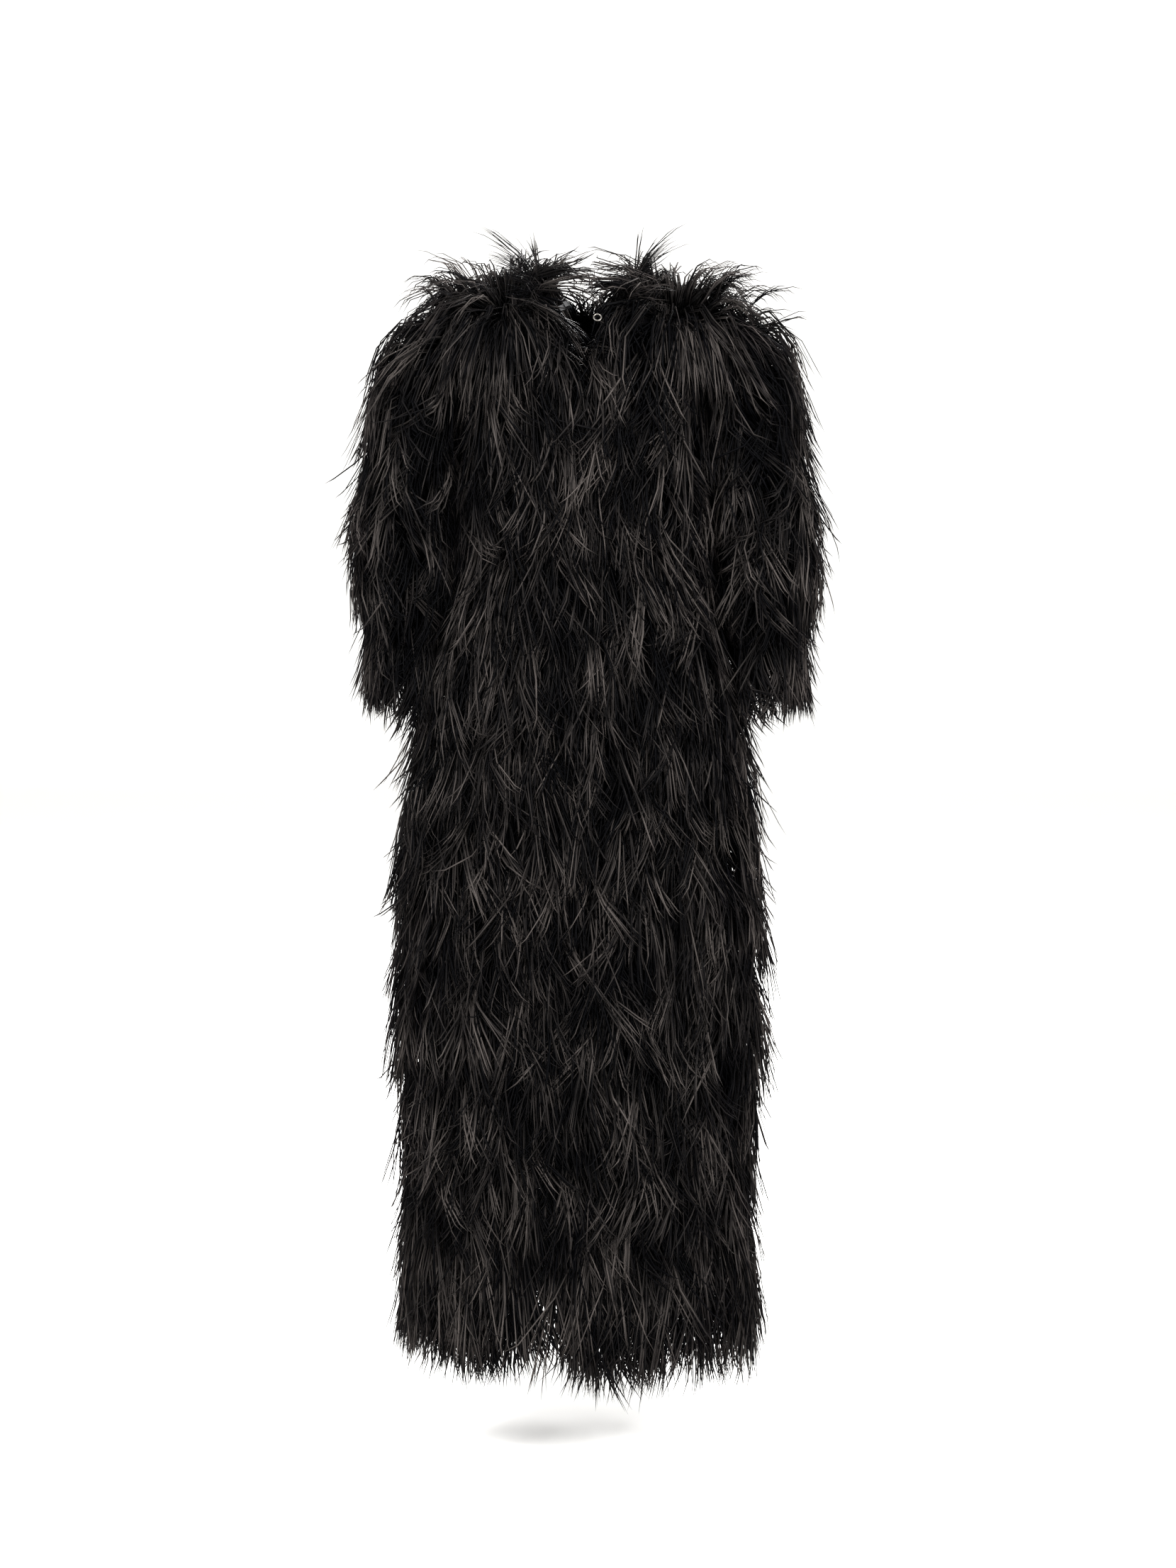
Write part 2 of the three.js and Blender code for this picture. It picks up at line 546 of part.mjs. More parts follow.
function cuffFringe(name, side) {
  const count = sleeveColumns.length - 1;
  const cuffRow = sleeveRows.at(-1);
  const columns = range(count / 2).map((n) => 2 * n);
  const edge = columns.map((k) => {
    const { point, out, reach } = sleeveStation(k, cuffRow, 0);
    const level = vector(out.x, out.y, 0).normalize();
    return { point: onSide(point, side), out: onSide(level, side), reach };
  });
  const inward = columns.map((k) => {
    const turn = 2 * Math.PI * (sleeveColumns[k].share + 0.5 / count);
    return (1 - Math.cos(turn)) / 2;
  });
  const down = vector(0, 0, -1);
  return fringe(
    name, hangingStations(edge, down), true,
    (k) => {
      const even = mix(CUFF_LENGTH, CUFF_INNER_LENGTH, smooth(inward[k]));
      const length = even * (1 + LENGTHS_DIFFER * chance(k, SEEDS.cuff * side));
      return vector(side * CUFF_LEAN * inward[k] ** 2, LOCK_BOW * chance(k, SEEDS.cuff + 1), -length);
    },
    (k) => edge[k].out.clone().multiplyScalar(LOCK_BOW),
  );
}

// The neckline's stations, from the end of the right front's V round the back to the end of the left one's.
function neckEdge() {
  const places = torsoRows.filter((row) => row.place <= BAND_END);
  const along = (front) => places.map((row) => panelPoint(front, 0, { ...row, phase: 0 }, 0));
  const neck = backColumns.filter((u) => Math.abs(u) < BACK_NECK_SHARE - TINY);
  const behind = neck.map((u) => panelPoint(BACK, u, torsoRows[0], 0));
  const [right, left] = FRONTS.map(along);
  for (const front of [right, left]) front[0].point.y = 0;
  return [...right.reverse(), ...behind, ...left];
}

// The way from the neckline's cut edge into the neck's opening, at station k.
function intoNeck(edge, k) {
  const last = edge.length - 1;
  const along = edge[Math.min(last, k + 1)].point.clone().sub(edge[Math.max(0, k - 1)].point);
  return along.cross(edge[k].out).normalize();
}

function neckBand() {
  const edge = neckEdge();
  const inward = edge.map((station, k) => intoNeck(edge, k));
  const stations = edge.map(({ point, out, reach }, k) => ({
    origin: point.clone().addScaledVector(inward[k], BAND_GAP),
    width: inward[k].clone().multiplyScalar(BAND_THICK),
    height: out.clone().multiplyScalar(reach * BAND_SHARE),
  }));
  const behind = (k) => smooth((edge[k].point.y + NECK_RUN) / NECK_RUN);
  return fringe(
    "neck_band", stations, false,
    (k) => edge[k].out.clone().multiplyScalar(mix(NECK_FRONT_LENGTH, NECK_LENGTH, behind(k)))
      .addScaledVector(inward[k], -NECK_LEAN * behind(k))
      .multiplyScalar(1 + LENGTHS_DIFFER * chance(k, SEEDS.neck)),
    (k) => inward[k].clone().multiplyScalar(LOCK_BOW * behind(k)),
  );
}

// Places a fastening on the neck band, at station k: its own x points into the neck's opening, its y out
// through the feathers and its z along the neckline.
function fasten(mesh, k) {
  const edge = neckEdge();
  const inward = intoNeck(edge, k);
  const { point, out, reach } = edge[k];
  const along = inward.clone().cross(out).normalize();
  mesh.quaternion.setFromRotationMatrix(new THREE.Matrix4().makeBasis(inward, out, along));
  mesh.position.copy(point)
    .addScaledVector(out, reach * FASTENING_SHARE)
    .addScaledVector(inward, BAND_GAP + BAND_THICK + 2 * SEAM_GAP);
  return mesh;
}

// The hook: a flat bar that leaves the band and turns back on itself.
function hook() {
  const outline = new THREE.Shape();
  const bend = HOOK_LONG - 1.5 * WIRE;
  outline.moveTo(0, -WIRE);
  outline.lineTo(bend, -WIRE);
  outline.absarc(bend, WIRE / 2, 1.5 * WIRE, -QUARTER, QUARTER, false);
  outline.lineTo(HOOK_LONG / 2, 2 * WIRE);
  outline.lineTo(HOOK_LONG / 2, WIRE);
  outline.lineTo(bend, WIRE);
  outline.absarc(bend, WIRE / 2, WIRE / 2, QUARTER, -QUARTER, true);
  outline.lineTo(0, 0);
  const geometry = new THREE.ExtrudeGeometry(outline, {
    depth: HOOK_WIDE, bevelEnabled: false, curveSegments: ROUND_FACES,
  });
  geometry.translate(0, 0, -HOOK_WIDE / 2);
  const mesh = new THREE.Mesh(geometry, new THREE.MeshStandardMaterial(HOOK_FINISH));
  mesh.name = "hook";
  return fasten(mesh, HOOK_STATION);
}

// The eye: a round loop of wire that stands out from the band.
function eye() {
  const geometry = new THREE.TorusGeometry(EYE_RADIUS, WIRE / 2, ROUND_FACES + 2, 3 * ROUND_FACES);
  geometry.rotateX(QUARTER);
  geometry.translate(EYE_RADIUS + WIRE / 2, 0, 0);
  const mesh = new THREE.Mesh(geometry, new THREE.MeshStandardMaterial(EYE_FINISH));
  mesh.name = "eye";
  return fasten(mesh, neckEdge().length - 1 - EYE_STATION);
}

const coat = new THREE.Group();
for (const front of FRONTS) {
  coat.add(panelWall(`front_${front.name}`, front, frontColumns, frontClothColumns));
  coat.add(sleeve(`sleeve_${front.name}`, front.side));
  coat.add(hemFringe(`hem_fringe_${front.name}`, front, frontColumns, SEEDS.hem + front.side));
  coat.add(cuffFringe(`cuff_fringe_${front.name}`, front.side));
}
coat.add(panelWall("back", BACK, backColumns, backClothColumns));
coat.add(hemFringe("hem_fringe_back", BACK, backColumns, SEEDS.hemBack));
coat.add(neckBand());
coat.add(hook());
coat.add(eye());

export default coat;
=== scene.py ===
"""A full-length coat of black ostrich feathers, hollow as when worn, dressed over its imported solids.

Sizes are millimetres until a mesh is made. +Z is up, -Y is the front and +X is the wearer's left. The
origin is at the base of the neck. Each wall of the coat is a thin silk ground cloth, and the feathers
are rooted on it: locks of single barbs that rise from the cloth, bend over and lie down along the wall.
"""

import logging
import math
from dataclasses import dataclass, replace
from enum import Enum

import bpy
import numpy as np
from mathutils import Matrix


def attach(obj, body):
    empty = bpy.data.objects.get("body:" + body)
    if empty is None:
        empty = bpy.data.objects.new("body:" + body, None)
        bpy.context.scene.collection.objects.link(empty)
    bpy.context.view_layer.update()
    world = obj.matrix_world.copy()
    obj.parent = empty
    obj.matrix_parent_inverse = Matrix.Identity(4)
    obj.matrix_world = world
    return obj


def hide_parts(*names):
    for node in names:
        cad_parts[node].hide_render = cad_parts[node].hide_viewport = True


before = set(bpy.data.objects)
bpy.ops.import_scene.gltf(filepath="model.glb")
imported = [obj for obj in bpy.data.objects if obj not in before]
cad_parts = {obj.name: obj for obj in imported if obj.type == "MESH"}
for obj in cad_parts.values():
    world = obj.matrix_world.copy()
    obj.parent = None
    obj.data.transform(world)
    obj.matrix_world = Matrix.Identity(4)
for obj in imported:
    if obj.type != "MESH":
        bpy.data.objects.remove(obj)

log = logging.getLogger("coat")

MM = 0.001  # metres
SEAM_GAP = 0.3  # between two pieces that are sewn to each other
PHOTO_LONG_SIDE = 2212  # pixels
SENSOR = 36.0  # width of the camera's sensor
EVEN_STEPS = (0.7548776662, 0.5698402910)  # 1 / p and 1 / p², where p³ = p + 1
SOWING_GRID = (321, 49)  # rows and columns of points that a cloth's area is summed over
RISE_SHARE = 0.36  # part of its length over which a feather rises
GOLDEN_TURN = 2.399963  # radians, which spread places evenly round a ring
RING_ANGLES = np.radians([90, 210, 330])  # of the three edges of a barb
BARB_FLAT = 0.55  # thickness of a barb as a share of its width
CELL_MARGIN = 0.08  # of each barb's cell in the map, on every side

Array = np.ndarray
Colour = tuple[float, float, float, float]


class Side(Enum):
    """The side of the coat as it is worn, and the sign of its x."""

    RIGHT = -1
    LEFT = 1


class Face(Enum):
    """The front or the back of the torso, and the sign of its y."""

    FRONT = -1
    BACK = 1


def smooth(t: Array) -> Array:
    """An even rise from 0 to 1: t² (3 - 2 t)."""
    t = np.clip(t, 0.0, 1.0)
    return t * t * (3.0 - 2.0 * t)


def mix(a: Array, b: Array, t: Array) -> Array:
    """The value at share t of the way from a to b."""
    return a + (b - a) * t


def dot(a: Array, b: Array) -> Array:
    """The product of two sets of vectors."""
    return (a * b).sum(-1)


def unit(vectors: Array) -> Array:
    """The same vectors with length 1."""
    return vectors / np.maximum(np.linalg.norm(vectors, axis=-1, keepdims=True), 1e-9)


def rows_of(*parts: Array) -> Array:
    """Vectors from their x, y and z."""
    return np.stack(np.broadcast_arrays(*parts), -1)


def on_line(at: Array, along: Array, line: Array) -> Array:
    """Points of a line at places along it, straight between the places of its own points."""
    return rows_of(*(np.interp(at, along, column) for column in line.T))


@dataclass(frozen=True)
class SizeTable:
    """Rows of sizes that a smooth curve joins, spaced as far apart as the points of two columns are."""

    columns: tuple[str, ...]
    spaced_by: tuple[str, str]
    rows: tuple[tuple[float, ...], ...]

    def at(self, place: Array) -> dict[str, Array]:
        """The sizes at any place between two rows.

        Between rows b and c, a size is the cubic that leaves each with the mean of the slopes to the
        rows beside it. Past the ends the table goes on straight.

        Args:
            place: numbers of rows, whole or not.

        Returns:
            For each column, its values at those places.
        """
        rows = np.array(self.rows, float)
        rows = np.concatenate([2 * rows[:1] - rows[1:2], rows, 2 * rows[-1:] - rows[-2:-1]])
        gaps = self.gaps()
        gaps = np.concatenate([gaps[:1], gaps, gaps[-1:]])
        place = np.clip(place, 0, len(self.rows) - 1)
        k = np.minimum(place.astype(int), len(self.rows) - 2)
        p = (place - k)[..., None]
        a, b, c, d = (rows[k + n] for n in range(4))
        before, here, after = (gaps[k + n][..., None] for n in range(3))
        start = 0.5 * (c - b) + 0.5 * here / before * (b - a)
        end = 0.5 * (c - b) + 0.5 * here / after * (d - c)
        value = b + p * (start + p * (3 * (c - b) - 2 * start - end + p * (start + end - 2 * (c - b))))
        return {name: value[..., n] for n, name in enumerate(self.columns)}

    def gaps(self) -> Array:
        """How far apart the rows are."""
        along = [self.columns.index(name) for name in self.spaced_by]
        return np.linalg.norm(np.diff(np.array(self.rows, float)[:, along], axis=0), axis=1)

    def moved(self, place: Array, steps: Array, past: float) -> Array:
        """Places that lie some rows further, where a row is as wide as the rows at the start of the step.

        A step of many close rows then ends after few wide ones.

        Args:
            place: numbers of rows. Those under 0 mirror the others.
            steps: how many rows each is moved by.
            past: the gap between rows past the last one.

        Returns:
            The new places.
        """
        gaps = np.append(self.gaps(), past)
        ends = np.concatenate([[0], gaps.cumsum()])
        over = np.abs(place)
        start = np.interp(over, np.arange(len(ends)), ends) + np.maximum(0, over - len(gaps)) * past
        wide = gaps[np.minimum(over.astype(int), len(gaps) - 1)]
        length = np.sign(place) * start + steps * wide
        far = np.abs(length)
        inside = np.interp(far, ends, np.arange(len(ends)))
        return np.sign(length) * (inside + np.maximum(0, far - ends[-1]) / past)


# The torso, from the shoulder seam down to the hem, one oval a row, as in the coat's solids. Only the
# reach is more: single feathers stand up at the shoulder and close the gap between body and sleeve.
LEVELS = SizeTable(
    (
        "drop", "front", "back", "half", "edge", "fall", "shift", "right", "left",
        "pile", "pile_edge", "pile_front",
    ),
    ("drop", "front"),
    (
        (0, 0, 0, 195, 189, 30, 0, -63, 63, 56, 62, 50),
        (4.2, 25, 24, 195, 186.5, 28, 0, -59, 58, 56, 60, 48),
        (16.4, 49, 46, 194.5, 180, 25, 0, -51, 48, 55, 55, 44),
        (36.3, 71, 66, 193, 171, 20, 0, -39, 34, 52, 48, 41),
        (60.4, 88, 82, 190.5, 164, 14, 0, -23, 15, 47, 34, 38),
        (86.5, 101, 94, 187, 160, 9, 0, -7, -4, 46, 28, 36),
        (112.7, 110, 102, 182, 158.5, 5, 0, 4, 6, 45, 22, 34),
        (136, 115, 107, 176, 157.5, 3, 0, 14, 16, 45, 16, 34),
        (155.4, 118, 110, 170, 157.5, 2, 0, 20, 22, 45, 18, 34),
        (170.1, 119.5, 111, 165, 157.5, 1, 0, 23, 25, 45, 18, 34),
        (181.7, 120, 112, 161, 158, 0.5, 0, 25, 27, 45, 19, 34),
        (190, 120, 112, 158, 158, 0, 0, 26, 28, 45, 20, 34),
        (306, 119, 112, 158, 158, 0, 0, 18, 20, 46, 28, 32),
        (422, 122, 116, 163, 163, 0, -3, -6, -4, 46, 28, 30),
        (538, 128, 122, 182, 182, 0, -6, -28, -26, 48, 38, 28),
        (654, 133, 128, 193, 193, 0, -8, -42, -40, 48, 52, 26),
        (770, 136, 132, 199, 199, 0, -9, -50, -48, 48, 54, 25),
        (886, 138, 134, 203, 203, 0, -9, -52, -49, 48, 54, 24),
        (1002, 139, 135, 204, 204, 0, -9, -56, -48, 48, 53, 23),
        (1118, 138, 134, 201, 201, 0, -9, -67, -46, 47, 50, 23),
        (1234, 136, 132, 197, 197, 0, -9, -80, -44, 45, 46, 22),
    ),
)
UNDERARM = 11  # the level where the armhole ends
HEM = 20  # the last level
HEM_SPACING = 116.0  # height of one level there
DROOP = 0.006  # for each square millimetre past the armhole
NECK_HALF = 63.0  # half the width of the neckline at the shoulder seam
BACK_NECK_LEVEL = 2.3  # the lowest level of the back's neckline
BACK_NECK_SHARE = 0.25  # of the back's width
LEAST_PILE = 2.0
TORSO_TIERS = (0, 5, 11, 12, 13, 14, 15, 16, 17, 18, 19, 20)

# The sleeve, from the armhole to the cuff, one oval ring a row.
RINGS = SizeTable(
    ("outer_x", "outer_z", "inner_x", "inner_z", "depth", "pile_outer", "pile_inner", "pile_face"),
    ("outer_x", "outer_z"),
    (
        (189, -30, 158, -190, 55, 64, 14, 34),
        (208, -42, 171, -190.5, 60, 64, 16, 35),
        (221, -64, 180, -199, 64, 62, 18, 36),
        (233, -100, 184, -221, 66, 57, 20, 36),
        (243, -144, 185.5, -252, 66, 51, 22, 36),
        (251, -192, 186, -285, 66, 46, 24, 37),
        (259, -238, 186.5, -318, 66, 46, 24, 37),
        (266, -280, 187, -348, 66, 46, 24, 38),
        (272, -320, 188, -375, 66, 46, 24, 38),
        (274, -355, 190, -398, 66, 45, 24, 38),
        (273, -388, 194, -418, 66, 44, 24, 37),
        (270, -416, 199, -434, 65, 35, 22, 36),
        (266, -440, 205, -446, 64, 34, 5, 31),
    ),
)
CUFF = 12  # the last ring
CUFF_SPACING = 27.0  # length of one ring there
CAP_RINGS = 3.0  # over which the armhole's shape turns into an oval
ARMHOLE_RINGS = 1.5  # over which the armhole's reach gives way to the sleeve's own
ARMHOLE_POINTS = 221
SLEEVE_TIERS = (0, 2.5, 5, 7.5, 10.5, 12)


def edge_turn(size: dict[str, Array]) -> Array:
    """The turn of the armhole or side seam: arcsin(edge / half)."""
    return np.arcsin(np.minimum(1.0, size["edge"] / size["half"]))


def oval_point(turn: Array, level: Array, face: int) -> Array:
    """Points of the torso's cloth, and of its even continuation past every edge.

    x = shift + half sin(turn), y = depth cos(turn) towards the face, and z = -drop - fall times the
    share of the way from neck to shoulder point. A level under 0 is over the shoulder, on the other
    face. Past an armhole the oval runs straight on and droops with the square of the way, and past the
    hem it runs straight down.

    Args:
        turn: angle round the body, 0 at the middle of the face.
        level: row of the table of levels.
        face: -1 for the fronts and 1 for the back.

    Returns:
        The points.
    """
    over = np.abs(level)
    size = LEVELS.at(over)
    edge = edge_turn(size)
    held = np.where(over < UNDERARM, np.clip(turn, -edge, edge), turn)
    past = turn - held
    facing = face * np.where(level < 0, -1.0, 1.0) * np.cos(held)
    depth = np.where(facing < 0, size["front"], size["back"])
    side = size["half"] * np.sin(held)
    from_neck = np.maximum(0.0, (np.abs(side) - NECK_HALF) / (size["half"] - NECK_HALF))
    droop = DROOP * (size["half"] * past) ** 2
    below = np.maximum(0.0, over - HEM) * HEM_SPACING
    return rows_of(
        size["shift"] + side + size["half"] * np.cos(held) * past,
        facing * depth + np.sign(facing) * SEAM_GAP / 2,
        -size["drop"] - np.maximum(0.0, size["fall"]) * from_neck - droop - below,
    )


def turn_at(x: Array, size: dict[str, Array]) -> Array:
    """The turn of a point of the torso from its x: arcsin((x - shift) / half)."""
    return np.arcsin(np.clip((x - size["shift"]) / size["half"], -1.0, 1.0))


class Wall:
    """A wall's cloth as a surface of two parameters u and v, and the reach of its feathers."""

    step: float = 0.004  # between the points that a slope is found from
    outward: int = 1
    tiers: tuple[float, ...] = ()
    table: SizeTable = LEVELS
    past: float = HEM_SPACING

    def place(self, across: Array, down: Array) -> tuple[Array, Array]:
        """The u and v of shares from 0 to 1 across the wall and down it."""
        raise NotImplementedError

    def point(self, u: Array, v: Array) -> Array:
        """Points of the cloth."""
        raise NotImplementedError

    def pile(self, u: Array, v: Array) -> Array:
        """How far the feathers reach out of the cloth."""
        raise NotImplementedError

    def trim(self, u: Array, v: Array) -> Array:
        """The share of their full length that feathers rooted there have."""
        return np.ones(np.broadcast(u, v).shape)

    def frame(self, u: Array, v: Array) -> tuple[Array, Array, Array, Array]:
        """Points with their slopes along u and v, found from points a small step apart, and the way out.

        Args:
            u, v: places on the cloth.

        Returns:
            The points, the slopes along u, the slopes along v, and the unit vectors out of the cloth,
            which are the slopes' cross product.
        """
        step = self.step
        along_u = (self.point(u + step, v) - self.point(u - step, v)) / (2 * step)
        along_v = (self.point(u, v + step) - self.point(u, v - step)) / (2 * step)
        return self.point(u, v), along_u, along_v, unit(np.cross(along_u, along_v)) * self.outward


@dataclass(frozen=True)
class TorsoWall(Wall):
    """A front or the back: u is the turn round the body and v the level."""

    face: Face
    side: Side | None = None
    whorls: tuple[tuple[float, float], ...] = ((-103.0, 1.2), (122.0, 1.2))  # x and level
    whorl_depth: float = 20.0
    whorl_wide: float = 24.0
    side_share: float = 0.42  # past this share from the middle the reach turns into the side's own
    groove_share: float = 0.3  # within this share from a front's edge the reach is lower
    neck_trim: float = 0.5  # share of their length that feathers beside the V have
    neck_levels: tuple[float, float] = (4.5, 7.0)  # where the short feathers beside the V give way
    tiers: tuple[float, ...] = TORSO_TIERS

    @property
    def outward(self) -> int:
        """The sign that turns the slopes' cross product out of the cloth."""
        return self.face.value

    def edges(self, size: dict[str, Array]) -> tuple[Array, Array]:
        """The turns of the wall's first and last edge, which are a front's edge and its side seam.

        Args:
            size: sizes at some levels.

        Returns:
            The two turns at those levels.
        """
        if self.face is Face.BACK:
            return -edge_turn(size), edge_turn(size)
        name = "right" if self.side is Side.RIGHT else "left"
        return turn_at(size[name], size), self.side.value * edge_turn(size)

    def place(self, across: Array, down: Array) -> tuple[Array, Array]:
        """The turn and level of shares across and down the wall.

        On the back the levels over the underarm are pressed together under the neckline. Its dip is the
        lowest level times sqrt(1 - (u / w)²), where w is its share of the back's width.

        Args:
            across, down: the shares.

        Returns:
            The turn and the level.
        """
        level = down * HEM
        if self.face is Face.BACK:
            u = 2 * across - 1
            dip = BACK_NECK_LEVEL * np.sqrt(np.maximum(0.0, 1 - (u / BACK_NECK_SHARE) ** 2))
            level = np.where(level < UNDERARM, mix(dip, UNDERARM, level / UNDERARM), level)
        first, last = self.edges(LEVELS.at(level))
        return mix(first, last, across), level

    def point(self, u: Array, v: Array) -> Array:
        """Points of the torso's cloth."""
        return oval_point(u, v, self.face.value)

    def pile(self, u: Array, v: Array) -> Array:
        """The reach: low at a front's edge, full over the middle, its own at the side, less a whorl's dip.

        A dip is its depth times exp(-d² / 2 w²), where d is the distance from the whorl in plan.

        Args:
            u, v: turns and levels.

        Returns:
            The reach there.
        """
        size = LEVELS.at(np.abs(v))
        first, last = self.edges(size)
        share = (u - first) / (last - first)
        if self.face is Face.BACK:
            share = 2 * share - 1
            middle = size["pile"]
        else:
            middle = mix(size["pile_front"], size["pile"], smooth(share / self.groove_share))
        beside = smooth((np.abs(share) - self.side_share) / (1 - self.side_share))
        reach = mix(middle, size["pile_edge"], beside)
        point = self.point(u, v)
        for x, level in self.whorls:
            y = -LEVELS.at(np.array(level))["front"]
            far = (point[..., 0] - x) ** 2 + (point[..., 1] - y) ** 2
            reach = reach - self.whorl_depth * np.exp(-far / (2 * self.whorl_wide**2))
        return np.maximum(reach, LEAST_PILE)

    def trim(self, u: Array, v: Array) -> Array:
        """Short beside a front's neckline, so that its V stays open, and full elsewhere.

        Args:
            u, v: turns and levels.

        Returns:
            The share of their full length that feathers rooted there have.
        """
        if self.face is Face.BACK:
            return super().trim(u, v)
        first, last = self.edges(LEVELS.at(np.abs(v)))
        beside = smooth((u - first) / (last - first) / self.groove_share)
        below = smooth((v - self.neck_levels[0]) / (self.neck_levels[1] - self.neck_levels[0]))
        return mix(self.neck_trim, 1.0, np.maximum(beside, below))


@dataclass(frozen=True)
class SleeveWall(Wall):
    """A sleeve: u is the turn round the arm from its outer side over the front, and v the ring."""

    side: Side
    tiers: tuple[float, ...] = SLEEVE_TIERS
    table: SizeTable = RINGS
    past: float = CUFF_SPACING

    @property
    def outward(self) -> int:
        """The sign that turns the slopes' cross product out of the cloth."""
        return self.side.value

    @staticmethod
    def armhole() -> tuple[Array, dict[int, Array], dict[int, Array]]:
        """The edge of the torso that the sleeve's first ring has the shape of.

        Returns:
            Its levels, and for each face its turns and its points about that ring's middle.
        """
        level = np.linspace(0.0, UNDERARM, ARMHOLE_POINTS)
        size = LEVELS.at(level)
        turns, points = {}, {}
        for face in (-1, 1):
            point = oval_point(edge_turn(size), level, face)
            point[[0, -1], 1] = 0.0
            point -= SleeveWall.middle(RINGS.at(np.array(0.0)))
            points[face] = point
            turns[face] = np.arctan2(np.abs(point[:, 1]), point[:, 2])
        return level, turns, points

    @staticmethod
    def middle(ring: dict[str, Array]) -> Array:
        """The middle of a ring."""
        x, z = ((ring[f"outer_{axis}"] + ring[f"inner_{axis}"]) / 2 for axis in "xz")
        return rows_of(x, 0 * x, z)

    def place(self, across: Array, down: Array) -> tuple[Array, Array]:
        """The turn and ring of shares round and down the sleeve."""
        return 2 * math.pi * across, CUFF * down

    def folded(self, u: Array) -> tuple[Array, Array]:
        """The turn from the outer side, 0 to half a round, and the face it is on, -1 or 1."""
        u = np.mod(u, 2 * math.pi)
        return np.where(u > math.pi, 2 * math.pi - u, u), np.where(u > math.pi, 1, -1)

    def point(self, u: Array, v: Array) -> Array:
        """Points of the sleeve's cloth: the armhole's shape, which turns into a plain oval over three rings.

        The oval is the ring's half width times cos(u), and its depth times sin(u) to front or back.

        Args:
            u, v: turns and rings.

        Returns:
            The points.
        """
        turn, face = self.folded(u)
        ring = RINGS.at(v)
        across = np.cos(turn)
        oval = rows_of(
            (ring["outer_x"] - ring["inner_x"]) / 2 * across,
            face * ring["depth"] * np.sin(turn),
            (ring["outer_z"] - ring["inner_z"]) / 2 * across,
        )
        _, turns, points = self.armhole()
        start = np.where((face < 0)[..., None], *(on_line(turn, turns[n], points[n]) for n in (-1, 1)))
        point = mix(start, oval, smooth(v / CAP_RINGS)[..., None]) + self.middle(ring)
        point[..., 0] += SEAM_GAP
        point[..., 2] -= np.maximum(0.0, v - CUFF) * CUFF_SPACING
        point[..., 0] *= self.side.value
        return point

    def pile(self, u: Array, v: Array) -> Array:
        """The reach: the ring's outer, face and inner reach by the turn, and the armhole's own beside it.

        Args:
            u, v: turns and rings.

        Returns:
            The reach there.
        """
        turn, face = self.folded(u)
        ring = RINGS.at(v)
        across = np.cos(turn)
        end = np.where(across > 0, ring["pile_outer"], ring["pile_inner"])
        level, turns, _ = self.armhole()
        near = np.where(face < 0, *(np.interp(turn, turns[n], level) for n in (-1, 1)))
        reach = mix(ring["pile_face"], end, smooth(np.abs(across)))
        return np.maximum(LEAST_PILE, mix(LEVELS.at(near)["pile_edge"], reach, smooth(v / ARMHOLE_RINGS)))


FRONTS = {side: TorsoWall(Face.FRONT, side) for side in Side}
BACK = TorsoWall(Face.BACK)
SLEEVES = {side: SleeveWall(side) for side in Side}


@dataclass(frozen=True)
class Lie:
    """The way that the feathers lie: away from a whorl on each shoulder, and down further off."""

    whorls: tuple[tuple[float, float, float], ...] = ((-103.0, -30.0, -8.0), (122.0, -30.0, -12.0))
    spread: float = 200.0
    wave: float = 0.1  # radians that whole patches lean to either side
    patch: float = 95.0  # usual size of such a patch
    # Each wave of the lean has slopes a, b and c along x, y and z, and a start.
    waves: tuple[tuple[float, ...], ...] = ((3.1, 0.0, 1.3, 0.7), (-1.9, 2.1, 2.3, 0.0), (4.3, 1.0, 3.7, 0.0))
    usual_sum: float = 1.7  # of the waves

    def way(self, point: Array, normal: Array, lean: Array) -> Array:
        """The direction of the feathers along the cloth.

        Each whorl has the weight w = exp(-(d / spread)²). The direction is the sum over the whorls of
        the unit vector away from it times w³ over the sum of w², so that the nearer one leads, and the
        rest straight down, laid flat on the cloth and turned about the way out by the lean.

        Args:
            point: points of the cloth.
            normal: the way out at each.
            lean: angle that each is turned by.

        Returns:
            Unit vectors along the cloth.
        """
        away = point[..., None, :] - np.array(self.whorls)
        far = np.linalg.norm(away, axis=-1)
        weight = np.exp(-((far / self.spread) ** 2))
        led = weight**3 / np.maximum((weight**2).sum(-1, keepdims=True), 1e-12)
        pull = (away / np.maximum(far, 1e-6)[..., None] * led[..., None]).sum(-2)
        pull[..., 2] -= 1 - weight.max(-1)
        flat = unit(pull - normal * dot(pull, normal)[..., None])
        turn = lean + self.leaning(point)
        return flat * np.cos(turn)[..., None] + np.cross(normal, flat) * np.sin(turn)[..., None]

    def leaning(self, point: Array) -> Array:
        """The lean of whole patches: the sum over the waves of sin(a x + b y + c z + start).

        Args:
            point: points of the cloth.

        Returns:
            The angle that the feathers lean by there.
        """
        x, y, z = np.moveaxis(point / self.patch, -1, 0)
        total = sum(np.sin(a * x + c * z + b * y + start) for a, b, c, start in self.waves)
        return self.wave * total / self.usual_sum


